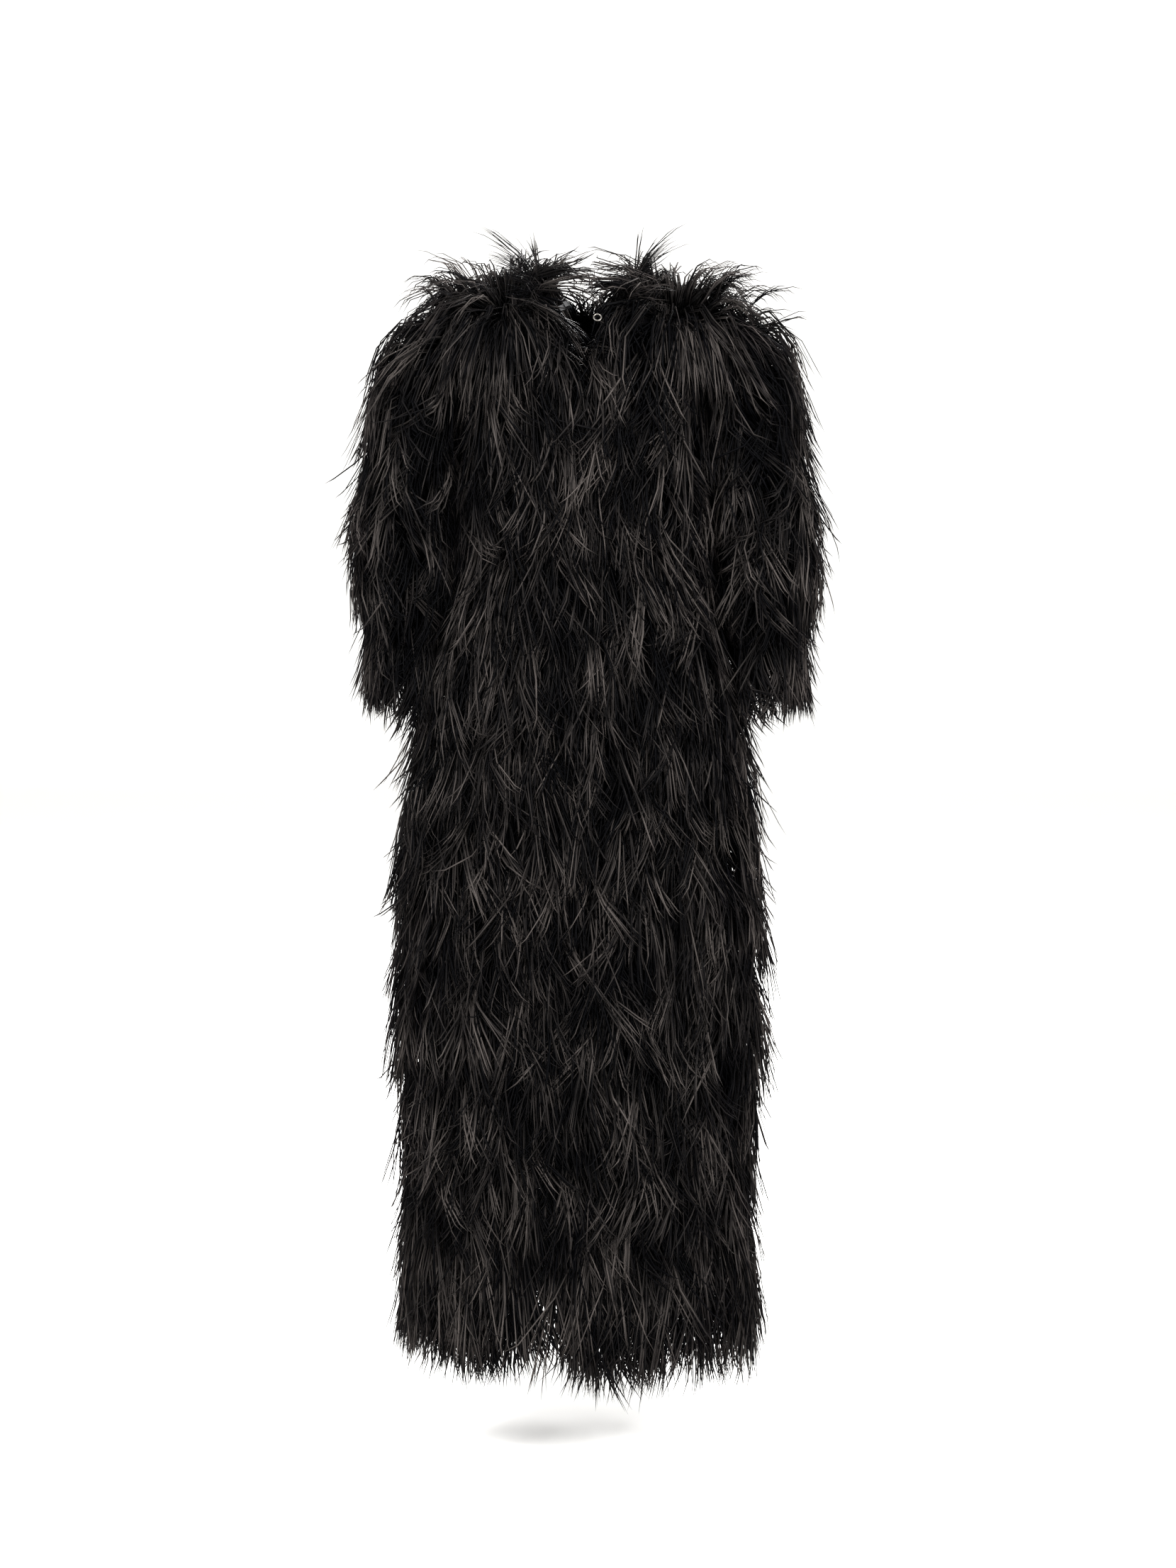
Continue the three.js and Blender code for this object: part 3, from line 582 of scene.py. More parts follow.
@dataclass(frozen=True)
class Habit:
    """How the feathers of one part grow: their sizes, how they gather into locks and how they stray.

    Where a comment gives shares between, one share between the two is drawn for each lock or barb.
    """

    barbs: int  # in one lock
    locks: int = 0  # a bed of feathers gives its own number
    length: float = 124.0
    uneven: float = 0.22  # share that lengths differ by
    width: float = 2.7
    widths: tuple[float, float] = (0.65, 1.35)  # shares of the width between
    root_width: float = 0.7  # share of its width that a barb has at its root
    stops: tuple[float, ...] = (0.0, 0.24, 0.54, 0.86, 1.0)  # shares of the length
    lean: float = 0.2  # radians
    curl: float = 0.46
    deep: float = 0.4  # least reach of a lock as a share of the pile
    high: float = 1.0
    sunk: float = 5.0  # how far the locks stay under the pile's full reach
    lowest: float = 0.8  # least height of a lock over the cloth
    lowest_barb: float = 0.4
    tip_rise: float = 22.0
    tip_rises: tuple[float, float] = (0.1, 1.0)  # shares of it between
    tip_pile: tuple[float, float] = (4.0, 24.0)  # reach where tips start to rise, and the rest to full rise
    spread: float = 10.0  # half the width of a lock's root
    gather: float = 0.3  # share by which a lock narrows to its tips
    flare: float = 10.5
    ripple: float = 0.9  # how far a barb waves to either side
    ripples: tuple[float, float] = (0.5, 1.2)  # number of waves between
    layers: tuple[float, float] = (-0.22, 0.08)  # shares between, of its lock's height, that a barb is off it
    loose: float = 5.0  # usual lift of a tip
    stray: float = 0.1  # share of the barbs that stray
    stray_out: float = 23.0
    strays: tuple[float, float] = (0.3, 1.0)  # shares of it between
    stray_flare: float = 2.0  # times the flare of the others
    ahead: float = 14.0  # how far the roots of one lock lie ahead of each other, either way
    drift: float = 0.0  # radians that all lean to the wearer's left
    band: tuple[float, float] = (0.0, 1.0)  # shares across the wall between which they are rooted
    tone: float = 0.5
    tones: float = 0.2  # usual difference in tone between locks, and again between barbs
    depth_shade: tuple[float, float] = (0.3, 0.6)  # painted shade: layer under which a lock is black, and the rest to its full tone
    tier_share: float = 0.45  # part of a tier that holds more of its roots
    tier_extra: float = 0.9  # how many more, as a share


@dataclass
class Barbs:
    """Single barbs: the points along each, the way out, half widths along each, and a tone for each."""

    points: Array
    normals: Array
    widths: Array
    tones: Array
    stops: Array


def scattered(wall: Wall, habit: Habit, low: float, high: float, shift: float) -> tuple[Array, Array]:
    """Roots spread evenly over a wall's cloth, a little closer where each tier starts.

    Root k has k times each of the two even steps, less whole numbers, as its share of the area above a
    place and of the area beside it in its row.

    Args:
        wall: the wall.
        habit: gives the number of roots, the part of a tier that holds more, and the band across the wall.
        low, high: shares down the wall between which the roots lie.
        shift: where the two shares start.

    Returns:
        The u and v of each root.
    """
    rows, columns = SOWING_GRID
    down, across = np.meshgrid(np.linspace(low, high, rows), np.linspace(0, 1, columns), indexing="ij")
    point = wall.point(*wall.place(across, down))
    over = np.linalg.norm(np.cross(np.diff(point, axis=0)[:, :-1], np.diff(point, axis=1)[:-1]), axis=-1)
    row = (down[:-1, 0] + down[1:, 0]) / 2 * wall.tiers[-1]
    tiers = np.array(wall.tiers, float)
    tier = np.clip(np.searchsorted(tiers, row, "right") - 1, 0, len(tiers) - 2)
    phase = (row - tiers[tier]) / (tiers[tier + 1] - tiers[tier])
    over = over * (1 + habit.tier_extra * (phase < habit.tier_share))[:, None]
    first, second = (np.mod(shift + step * np.arange(habit.locks), 1) for step in EVEN_STEPS)
    rows = np.concatenate([[0], over.sum(1).cumsum()])
    share_down = np.interp(first, rows / rows[-1], np.linspace(0, 1, len(rows)))
    at = np.minimum((share_down * over.shape[0]).astype(int), over.shape[0] - 1)
    columns = np.concatenate([np.zeros((len(over), 1)), over.cumsum(1)], axis=1)
    columns = columns / columns[:, -1:] + 2 * np.arange(len(over))[:, None]
    place = np.interp(second + 2 * at, columns.ravel(), np.arange(columns.size))
    share_across = (place - at * columns.shape[1]) / over.shape[1]
    return wall.place(mix(*habit.band, np.clip(share_across, 0, 1)), low + (high - low) * share_down)


def walked(wall: Wall, lie: Lie, u: Array, v: Array, lengths: Array, leans: Array, curls: Array,
           stops: Array) -> tuple[Array, Array, Array, Array]:
    """Paths over a wall's cloth that follow the lie of the feathers.

    A step (du, dv) has the length and direction that are asked for where slope_u du + slope_v dv is
    nearest to it, which two equations give.

    Args:
        wall: the wall.
        lie: the lie of the feathers.
        u, v: where each path starts.
        lengths: length of each path.
        leans: angle that each is turned by at its start.
        curls: the further angle at its end.
        stops: shares of the length at which the points lie.

    Returns:
        The points, the ways out, the directions and the reach of the feathers, each path by stop.
    """
    points, normals, ways, piles = [], [], [], []
    for share, step in zip(stops, np.append(np.diff(stops), 0.0)):
        point, along_u, along_v, out = wall.frame(u, v)
        way = lie.way(point, out, leans + curls * share)
        points.append(point)
        normals.append(out)
        ways.append(way)
        piles.append(wall.pile(u, v))
        aim = way * (lengths * step)[:, None]
        a, b, c = dot(along_u, along_u), dot(along_u, along_v), dot(along_v, along_v)
        e, f = dot(along_u, aim), dot(along_v, aim)
        area = np.maximum(a * c - b * b, 1e-6)
        u, v = u + (c * e - b * f) / area, wall.table.moved(v, (a * f - b * e) / area, wall.past)
    return np.stack(points, 1), np.stack(normals, 1), np.stack(ways, 1), np.stack(piles, 1)


def risen(stops: Array) -> Array:
    """How far along its rise a feather is: 1 - (1 - s / r)² up to the share r, and 1 past it."""
    return 1 - (1 - np.minimum(stops / RISE_SHARE, 1.0)) ** 2


def locks_of(points: Array, normals: Array, ways: Array, heights: Array, habit: Habit,
             rng: np.random.Generator, tones: Array) -> Barbs:
    """The barbs of locks, from the path of each lock.

    A barb lies beside its lock's path by its place in the root times 1 - gather s, and bends off by its
    own flare times s², with a ripple that grows with sqrt(s). From a third of its length on it is off
    its lock's height by its own layer. A stray barb also lifts off the others with s². Its width is
    sqrt(1 - s to the power 6) of its full width, so that it ends bluntly, and a little less at its root.

    Args:
        points, normals, ways: each lock's path on the cloth, the way out and the direction.
        heights: how far out of the cloth the lock's path lies, lock by stop.
        habit: the sizes.
        rng: seeded numbers.
        tones: a tone for each lock.

    Returns:
        The barbs.
    """
    locks, stops = heights.shape
    count = locks * habit.barbs
    lock = np.repeat(np.arange(locks), habit.barbs)
    s = np.array(habit.stops)
    side = np.cross(ways, normals)[lock]
    normal, way = normals[lock], ways[lock]
    stray = rng.random(count) < habit.stray
    beside = habit.spread * rng.uniform(-1, 1, count)[:, None] * (1 - habit.gather * s)
    bend = np.where(stray, habit.stray_flare, 1.0) * habit.flare * rng.normal(0, 1, count)
    wave = rng.uniform(*habit.ripples, count)[:, None] * s + rng.random(count)[:, None]
    ripple = habit.ripple * np.sin(2 * math.pi * wave)
    beside = beside + bend[:, None] * s**2 + ripple * np.sqrt(s)
    over = rng.uniform(*habit.layers, count)[:, None] * heights[lock]
    stray_lift = habit.stray_out * rng.uniform(*habit.strays, count)
    lift = np.where(stray, stray_lift, habit.loose * rng.normal(0, 1, count))
    out = heights[lock] + over * np.minimum(1, 3 * s) + lift[:, None] * s**2
    out = np.maximum(habit.lowest_barb, out)
    ahead = habit.ahead * rng.uniform(-1, 1, count)[:, None] + np.zeros(stops)
    path = points[lock] + normal * out[..., None] + side * beside[..., None] + way * ahead[..., None]
    shape = np.minimum(1.0, habit.root_width + s) * np.sqrt(1 - s**6)
    half = habit.width / 2 * rng.uniform(*habit.widths, count)
    tone = np.clip(tones[lock] + rng.normal(0, habit.tones, count), 0, 1)
    return Barbs(path, normal, half[:, None] * shape, tone, s)


def sown(wall: Wall, habit: Habit, rng: np.random.Generator, low: float, high: float = 1.0) -> Barbs:
    """The feathers of a wall: roots scattered over its cloth, each the start of a lock.

    A lock's path lies out of the cloth by its reach times the rise, plus its tip's rise times s to the
    power 1.5. The nearer it lies to the cloth, the blacker it is painted, as shade.

    Args:
        wall: the wall.
        habit: the sizes.
        rng: seeded numbers.
        low, high: shares down the wall between which the roots lie.

    Returns:
        The barbs.
    """
    u, v = scattered(wall, habit, low, high, rng.random())
    count, s = habit.locks, np.array(habit.stops)
    lengths = habit.length * (1 + habit.uneven * rng.uniform(-1, 1, count)) * wall.trim(u, v)
    leans = habit.drift + habit.lean * rng.normal(0, 1, count)
    curls = habit.curl * rng.normal(0, 1, count)
    points, normals, ways, piles = walked(wall, Lie(), u, v, lengths, leans, curls, s)
    layer = mix(habit.deep, habit.high, np.sqrt(rng.random(count)))[:, None]
    free = np.clip((piles - habit.tip_pile[0]) / habit.tip_pile[1], 0, 1)
    tips = habit.tip_rise * rng.uniform(*habit.tip_rises, count)[:, None] * free * s**1.5
    heights = np.maximum(habit.lowest, (piles - habit.sunk) * layer * risen(s) + tips)
    # Painted shade: locks that lie deep are darkened towards black.
    tones = rng.normal(habit.tone, habit.tones, count) * smooth((layer[:, 0] - habit.depth_shade[0]) / habit.depth_shade[1])
    return locks_of(points, normals, ways, heights, habit, rng, tones)


def linear(colour: str) -> Colour:
    """An sRGB hex colour as linear red, green, blue and 1: ((c + 0.055) / 1.055) to the power 2.4."""
    parts = [int(colour[n:n + 2], 16) / 255 for n in (1, 3, 5)]
    return (*(c / 12.92 if c <= 0.04045 else ((c + 0.055) / 1.055) ** 2.4 for c in parts), 1.0)


def add_node(tree: bpy.types.NodeTree, kind: str, output: str | int | None, inputs: dict | None = None,
             **settings: str) -> bpy.types.NodeSocket | None:
    """Adds a node with its settings, values and links.

    Args:
        tree: the material's nodes.
        kind: the node's type, less the word that all types start with.
        output: name or number of the output that is handed on, if the node has any.
        inputs: for each socket, its value or the output that feeds it.
        settings: the node's own settings.

    Returns:
        That output.
    """
    node = tree.nodes.new(f"ShaderNode{kind}")
    for name, value in settings.items():
        setattr(node, name, value)
    for name, value in (inputs or {}).items():
        if isinstance(value, bpy.types.NodeSocket):
            tree.links.new(value, node.inputs[name])
        else:
            node.inputs[name].default_value = value
    return None if output is None else node.outputs[output]


def new_material(name: str) -> tuple[bpy.types.Material, bpy.types.NodeTree]:
    """An empty node material.

    Args:
        name: the finish that it is.

    Returns:
        The material and its nodes.
    """
    material = bpy.data.materials.new(name)
    material.use_nodes = True
    material.node_tree.nodes.clear()
    return material, material.node_tree


@dataclass(frozen=True)
class OstrichFeather:
    """Ostrich feather, dyed black and curled: roots painted near black as shade, and barbs whose soft sheen
    is mostly grey-brown fade that also serves as painted highlight.
    """

    # painted shade: the colour of each barb's root, near black as if shadowed by the barbs over it
    root: str = "#010101"
    body: str = "#030304"
    fade_and_highlight: str = "#393533"  # grey-brown of dye faded in the light, which also serves as the barbs' painted highlight
    roughness: tuple[float, float] = (0.34, 0.54)
    specular: float = 0.02  # low, because most light is lost between the barbules
    barbule: float = 0.9  # mm between barbules, drawn three times as coarse as they are, so that they show
    fluff: float = 0.35  # strength of their bump
    fluff_height: float = 0.5  # mm
    patch: float = 70.0  # mm, the size of the browner patches of fade and painted highlight
    fade_start: float = -0.12  # what is added to tone times patch
    fade: tuple[float, float] = (-0.04, 0.4)  # where that starts to fade the dye and paint highlight, and where it does so in full
    fade_power: float = 1.9
    shade: tuple[float, float] = (0.05, 0.6)  # shares of a barb over which the painted shade at its root gives way

    def material(self) -> bpy.types.Material:
        """The finish, which reads each barb's tone, for its fade and painted highlight, and the way along it,
        for the painted shade at its root.

        Returns:
            The material.
        """
        material, tree = new_material("ostrich_feather_dyed_black")
        tone = add_node(tree, "Attribute", "Fac", attribute_name="tone")
        along = add_node(tree, "Attribute", "Fac", attribute_name="along")
        place = add_node(tree, "TexCoord", "Object")
        patch, barbule = 1 / (self.patch * MM), 1 / (self.barbule * MM)
        patches = add_node(tree, "TexNoise", "Fac", {"Vector": place, "Scale": patch, "Detail": 2.0})
        barbules = add_node(tree, "TexNoise", "Fac", {"Vector": place, "Scale": barbule, "Detail": 1.0})
        # Fade and painted highlight: where tone times patch is high, the barb turns grey-brown.
        fade_and_highlight = add_node(
            tree, "Math", "Value", {0: tone, 1: patches, 2: self.fade_start}, operation="MULTIPLY_ADD"
        )
        span = {"Value": fade_and_highlight, "From Min": self.fade[0], "From Max": self.fade[1]}
        fade_and_highlight = add_node(tree, "MapRange", "Result", span)
        fade_and_highlight = add_node(tree, "Math", "Value", {0: fade_and_highlight, 1: self.fade_power}, operation="POWER")
        mix_of = {0: fade_and_highlight, 6: linear(self.body), 7: linear(self.fade_and_highlight)}
        fade_and_highlight_colour = add_node(tree, "Mix", 2, mix_of, data_type="RGBA")
        # Painted shade: each barb goes near black towards its root.
        span = {"Value": along, "From Min": self.shade[0], "From Max": self.shade[1]}
        lit = add_node(tree, "MapRange", "Result", span)
        colour = add_node(tree, "Mix", 2, {0: lit, 6: linear(self.root), 7: fade_and_highlight_colour}, data_type="RGBA")
        span = {"Value": barbules, "To Min": self.roughness[0], "To Max": self.roughness[1]}
        rough = add_node(tree, "MapRange", "Result", span)
        bump = {"Height": barbules, "Strength": self.fluff, "Distance": self.fluff_height * MM}
        shader = add_node(tree, "BsdfPrincipled", "BSDF", {
            "Base Color": colour, "Roughness": rough, "Specular IOR Level": self.specular,
            "Normal": add_node(tree, "Bump", "Normal", bump),
        })
        add_node(tree, "OutputMaterial", None, {"Surface": shader})
        return material


@dataclass(frozen=True)
class SilkSatin:
    """Black silk satin, woven: smooth, with a soft broad shine and a fine thread."""

    colour: str = "#060607"
    light: str = "#0f0e10"  # where threads cross
    roughness: float = 0.62
    specular: float = 0.012
    thread: float = 0.5  # mm between threads, twice as coarse as they are, so that they show
    radians: float = 0.314  # 2 pi / 20, because the wave texture has 20 radians to a unit
    unsteady: float = 0.6  # how far threads wander
    bump: float = 0.3
    bump_height: float = 0.1  # mm

    def material(self) -> bpy.types.Material:
        """The finish, whose threads follow the cloth's own map.

        Returns:
            The material.
        """
        material, tree = new_material("silk_satin_black")
        place = add_node(tree, "UVMap", "UV", uv_map="cloth")
        wave = {"Vector": place, "Scale": self.radians / (self.thread * MM), "Distortion": self.unsteady}
        warp, weft = (add_node(tree, "TexWave", "Fac", wave, bands_direction=way) for way in ("X", "Y"))
        weave = add_node(tree, "Math", "Value", {0: warp, 1: weft}, operation="MULTIPLY")
        mix_of = {0: weave, 6: linear(self.colour), 7: linear(self.light)}
        bump = {"Height": weave, "Strength": self.bump, "Distance": self.bump_height * MM}
        shader = add_node(tree, "BsdfPrincipled", "BSDF", {
            "Base Color": add_node(tree, "Mix", 2, mix_of, data_type="RGBA"), "Roughness": self.roughness,
            "Specular IOR Level": self.specular, "Normal": add_node(tree, "Bump", "Normal", bump),
        })
        add_node(tree, "OutputMaterial", None, {"Surface": shader})
        return material


@dataclass(frozen=True)
class WireFinish:
    """The fastener's wire, bent and plated or lacquered: smooth, with small sharp glints."""

    name: str
    colour: str
    metallic: float
    roughness: float
    gloss: tuple[float, float] = (0.7, 1.4)  # least and most share of the roughness
    draw: float = 0.6  # mm between the faint marks of the die that drew it

    def material(self) -> bpy.types.Material:
        """The finish, which has shallow marks from the die in its gloss.

        Returns:
            The material.
        """
        material, tree = new_material(self.name)
        place = add_node(tree, "TexCoord", "Object")
        noise = {"Vector": place, "Scale": 1 / (self.draw * MM), "Detail": 2.0}
        marks = add_node(tree, "TexNoise", "Fac", noise)
        low, high = (self.roughness * share for share in self.gloss)
        rough = add_node(tree, "MapRange", "Result", {"Value": marks, "To Min": low, "To Max": high})
        look = {"Base Color": linear(self.colour), "Metallic": self.metallic, "Roughness": rough}
        shader = add_node(tree, "BsdfPrincipled", "BSDF", look)
        add_node(tree, "OutputMaterial", None, {"Surface": shader})
        return material

    def dress(self, node: str) -> None:
        """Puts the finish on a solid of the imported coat.

        Args:
            node: the solid's node.
        """
        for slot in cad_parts[node].material_slots:
            slot.material = self.material()
        log.info("%s: %s", node, self.name)


def mesh_piece(name: str, points: Array, corners: Array, starts: Array,
               material: bpy.types.Material) -> bpy.types.Object:
    """A mesh object at the origin from whole arrays.

    Args:
        name: the piece's name.
        points: vertices in millimetres.
        corners: the vertices of all faces, one face after another.
        starts: where each face starts in corners.
        material: its material.

    Returns:
        The object, linked to the scene.
    """
    mesh = bpy.data.meshes.new(name)
    mesh.vertices.add(len(points))
    mesh.vertices.foreach_set("co", (points * MM).astype(np.float32).ravel())
    mesh.loops.add(len(corners))
    mesh.loops.foreach_set("vertex_index", corners.astype(np.int32))
    mesh.polygons.add(len(starts))
    mesh.polygons.foreach_set("loop_start", starts.astype(np.int32))
    mesh.polygons.foreach_set("use_smooth", np.ones(len(starts), bool))
    mesh.update(calc_edges=True)
    mesh.validate()
    mesh.materials.append(material)
    piece = bpy.data.objects.new(name, mesh)
    bpy.context.scene.collection.objects.link(piece)
    return piece


def barb_pattern(stops: int) -> tuple[Array, Array, Array]:
    """The faces of one barb: three sides between its rings, a point at its tip and a cap at its root.

    Args:
        stops: points along the barb. Each but the last has a ring of three vertices.

    Returns:
        The vertices of its faces, where each face starts, and the place round and along of each corner.
    """
    tip = 3 * (stops - 1)
    faces, places = [], []
    for r in range(stops - 2):
        for k in range(3):
            n = (k + 1) % 3
            faces.append([3 * r + k, 3 * r + n, 3 * r + 3 + n, 3 * r + 3 + k])
            places += [[k / 3, r], [(k + 1) / 3, r], [(k + 1) / 3, r + 1], [k / 3, r + 1]]
    for k in range(3):
        faces.append([tip - 3 + k, tip - 3 + (k + 1) % 3, tip])
        places += [[k / 3, stops - 2], [(k + 1) / 3, stops - 2], [(k + 0.5) / 3, stops - 1]]
    faces.append([2, 1, 0])
    places += [[1, 0], [0.5, 0], [0, 0]]
    sizes = np.array([len(face) for face in faces])
    places = np.array(places, float) / [1, stops - 1]
    return np.concatenate(faces), np.concatenate([[0], sizes.cumsum()[:-1]]), places


def barb_piece(name: str, sets: list[Barbs], material: bpy.types.Material) -> bpy.types.Object:
    """One mesh of many barbs. Each is a closed, flattened, three-sided tube that narrows to a point.

    A ring's vertices lie at half width times (side cos a + flatness up sin a), for three angles a, where
    side crosses the barb's direction and the way out, and up crosses side and direction.

    Args:
        name: the piece's name.
        sets: barbs, each set with its own number of stops.
        material: their material.

    Returns:
        The object, with the attributes tone and along, and a map with a cell for each barb.
    """
    total = sum(len(barbs.points) for barbs in sets)
    cells = math.ceil(math.sqrt(total))
    points, corners, starts, maps, tones, alongs = [], [], [], [], [], []
    vertices = loops = made = 0
    for barbs in sets:
        count, stops = barbs.points.shape[:2]
        direction = unit(np.gradient(barbs.points, axis=1))
        side = unit(np.cross(barbs.normals, direction))
        up = np.cross(direction, side)
        ring = side[:, :-1, None] * np.cos(RING_ANGLES)[:, None]
        ring = ring + BARB_FLAT * up[:, :-1, None] * np.sin(RING_ANGLES)[:, None]
        rings = barbs.points[:, :-1, None] + ring * barbs.widths[:, :-1, None, None]
        each = np.concatenate([rings.reshape(count, -1, 3), barbs.points[:, -1:]], axis=1)
        points.append(each.reshape(-1, 3))
        face, start, place = barb_pattern(stops)
        corners.append((face + vertices + np.arange(count)[:, None] * each.shape[1]).ravel())
        starts.append((start + loops + np.arange(count)[:, None] * len(face)).ravel())
        cell = np.arange(made, made + count)
        corner = np.stack([cell % cells, cell // cells], 1)[:, None] + CELL_MARGIN
        corner = corner + (1 - 2 * CELL_MARGIN) * place
        maps.append(corner.reshape(-1, 2) / cells)
        tones.append(np.repeat(barbs.tones, each.shape[1]))
        alongs.append(np.tile(np.append(np.repeat(barbs.stops[:-1], 3), 1.0), count))
        vertices, loops, made = vertices + count * each.shape[1], loops + count * len(face), made + count
    piece = mesh_piece(name, *(np.concatenate(part) for part in (points, corners, starts)), material)
    for attribute, values in (("tone", tones), ("along", alongs)):
        layer = piece.data.attributes.new(attribute, "FLOAT", "POINT")
        layer.data.foreach_set("value", np.concatenate(values).astype(np.float32))
    uv = piece.data.uv_layers.new(name="OFBake")
    uv.uv.foreach_set("vector", np.concatenate(maps).astype(np.float32).ravel())
    return piece


def grid_piece(name: str, points: Array, places: Array, material: bpy.types.Material,
               turned: bool = False) -> bpy.types.Object:
    """A mesh of a grid of points, row by row.

    Args:
        name: the piece's name.
        points: rows of points in millimetres.
        places: the map's place of each point, in metres along the cloth.
        material: its material.
        turned: whether the faces are turned over.

    Returns:
        The object.
    """
    rows, columns = points.shape[:2]
    at = np.arange(rows * columns).reshape(rows, columns)
    quads = np.stack([at[:-1, :-1], at[1:, :-1], at[1:, 1:], at[:-1, 1:]], -1).reshape(-1, 4)
    if turned:
        quads = quads[:, ::-1]
    piece = mesh_piece(name, points.reshape(-1, 3), quads.ravel(), 4 * np.arange(len(quads)), material)
    uv = piece.data.uv_layers.new(name="cloth")
    uv.uv.foreach_set("vector", places.reshape(-1, 2)[quads.ravel()].astype(np.float32).ravel())
    return piece


def seat(piece: bpy.types.Object, node: str) -> None:
    """Puts a piece on the coat, in place of a node of its solids.

    Args:
        piece: the piece.
        node: the node.
    """
    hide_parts(node)
    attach(piece, "root")


def feather_piece(name: str, node: str, sets: list[Barbs], material: bpy.types.Material) -> bpy.types.Object:
    """A piece of feathers, in its place on the coat.

    Args:
        name: the piece's name.
        node: the node that it takes the place of.
        sets: its barbs.
        material: their material.

    Returns:
        The object.
    """
    piece = barb_piece(name, sets, material)
    seat(piece, node)
    log.info("%s: %d barbs, %d faces", name, sum(len(s.points) for s in sets), len(piece.data.polygons))
    return piece


@dataclass(frozen=True)
class Bed:
    """One piece of a wall's feathers: its name, its seed, its locks and the length of its long ones."""

    name: str
    seed: int
    locks: tuple[int, int]  # of the deep layer and of the long feathers
    length: float
    low: float = 0.0  # shares down the wall between which they are rooted
    high: float = 1.0


@dataclass(frozen=True)
class Panel:
    """One wall of the coat: its solid, the cut of its cloth, what that hangs from, and its feathers."""

    node: str
    wall: Wall
    flat: tuple[float, float]  # width and length of the cut, in metres
    area: float  # flat, in square metres
    sewn_to: tuple[str, ...]
    beds: tuple[Bed, ...]


PANELS = (
    Panel(
        "front_right", FRONTS[Side.RIGHT], (0.25, 1.31), 0.275, ("back",),
        (Bed("feathers_front_right", 11, (300, 790), 128.0),),
    ),
    Panel(
        "front_left", FRONTS[Side.LEFT], (0.33, 1.31), 0.325, ("back",),
        (Bed("feathers_front_left", 12, (300, 790), 128.0),),
    ),
    Panel(
        "back", BACK, (0.55, 1.31), 0.6, ("front_right", "front_left"),
        (
            Bed("feathers_back_upper", 21, (220, 370), 130.0, high=0.62),
            Bed("feathers_back_lower", 22, (220, 370), 130.0, low=0.62),
        ),
    ),
    Panel(
        "sleeve_right", SLEEVES[Side.RIGHT], (0.39, 0.42), 0.125, ("front_right", "back"),
        (Bed("feathers_sleeve_right", 31, (150, 350), 112.0),),
    ),
    Panel(
        "sleeve_left", SLEEVES[Side.LEFT], (0.39, 0.42), 0.125, ("front_left", "back"),
        (Bed("feathers_sleeve_left", 32, (150, 350), 112.0),),
    ),
)


@dataclass(frozen=True)
class GroundCloth:
    """The silk that the feathers are sewn to: two fronts, a back and two sleeves, each a thin shell."""

    thick: float = 1.0
    rows: int = 64
    columns: int = 28
    fold: float = 2.2  # height of the soft folds that open towards the hem
    folds: float = 7.0  # number of them across a wall

    def build(self, panel: Panel, feathers: list[bpy.types.Object],
              material: bpy.types.Material) -> bpy.types.Object:
        """A wall's cloth, on the inner face of its solid.

        Folds stand out of it by their height times sin²(pi folds across) times the share down, squared.

        Args:
            panel: the wall and its cut.
            feathers: the pieces sewn on it. Not used.
            material: its material.

        Returns:
            The object.
        """
        shares = (np.linspace(0, 1, self.rows), np.linspace(0, 1, self.columns))
        down, across = np.meshgrid(*shares, indexing="ij")
        point, _, _, out = panel.wall.frame(*panel.wall.place(across, down))
        lift = self.fold * np.sin(math.pi * self.folds * across) ** 2 * down**2
        places = np.stack([across * panel.flat[0], down * panel.flat[1]], -1)
        piece = grid_piece(f"cloth_{panel.node}", point + out * lift[..., None], places, material)
        shell = piece.modifiers.new("thickness", "SOLIDIFY")
        shell.thickness, shell.offset = self.thick * MM, 1.0
        seat(piece, panel.node)
        log.info("%s: %d faces", piece.name, len(piece.data.polygons))
        return piece


@dataclass(frozen=True)
class Plumage:
    """The feathers of the walls: a deep close layer of plain barbs, kept dark as painted shade, and the long
    curled ones over it.
    """

    # The deep layer's low tone, 0.12, is painted shade under the long feathers.
    under: Habit = Habit(
        barbs=6, length=105, width=4.2, stops=(0.0, 0.25, 0.62, 1.0), deep=0.3, high=0.75,
        tip_rise=6, spread=15, gather=0.1, stray=0.0, tone=0.12,
    )
    over: Habit = Habit(barbs=9)

    def build(self, panel: Panel, bed: Bed, material: bpy.types.Material) -> bpy.types.Object:
        """One bed of a wall's feathers.

        Args:
            panel: the wall.
            bed: the bed.
            material: their material.

        Returns:
            The object.
        """
        rng = np.random.default_rng(bed.seed)
        under = replace(self.under, locks=bed.locks[0])
        over = replace(self.over, locks=bed.locks[1], length=bed.length)
        sets = [sown(panel.wall, habit, rng, bed.low, bed.high) for habit in (under, over)]
        return feather_piece(bed.name, panel.node, sets, material)


@dataclass(frozen=True)
class Edging:
    """The feathers along each front's edge, which lean across and hide the parting between the fronts. Their
    low tone paints shade along the parting.
    """

    # The low tone, 0.2, is painted shade in the groove between the fronts.
    habit: Habit = Habit(
        locks=60, barbs=8, length=108, band=(0.0, 0.07), tip_rise=7, lean=0.2, deep=0.4, high=0.8, tone=0.2,
    )
    drift: float = 0.2
    low: float = 0.22  # share down the wall where they start

    def build(self, side: Side, seed: int, material: bpy.types.Material) -> bpy.types.Object:
        """One front's edging.

        Args:
            side: the front's side.
            seed: starts its numbers.
            material: the feathers' material.

        Returns:
            The object.
        """
        habit = replace(self.habit, drift=-side.value * self.drift)
        barbs = sown(FRONTS[side], habit, np.random.default_rng(seed), self.low)
        name = side.name.lower()
        return feather_piece(f"feathers_edge_{name}", f"front_{name}", [barbs], material)


@dataclass(frozen=True)
class Strip:
    """One strip of a fringe."""

    edge: str
    part: str
    wall: Wall
    seed: int
    habit: Habit
    start: float  # share down the wall


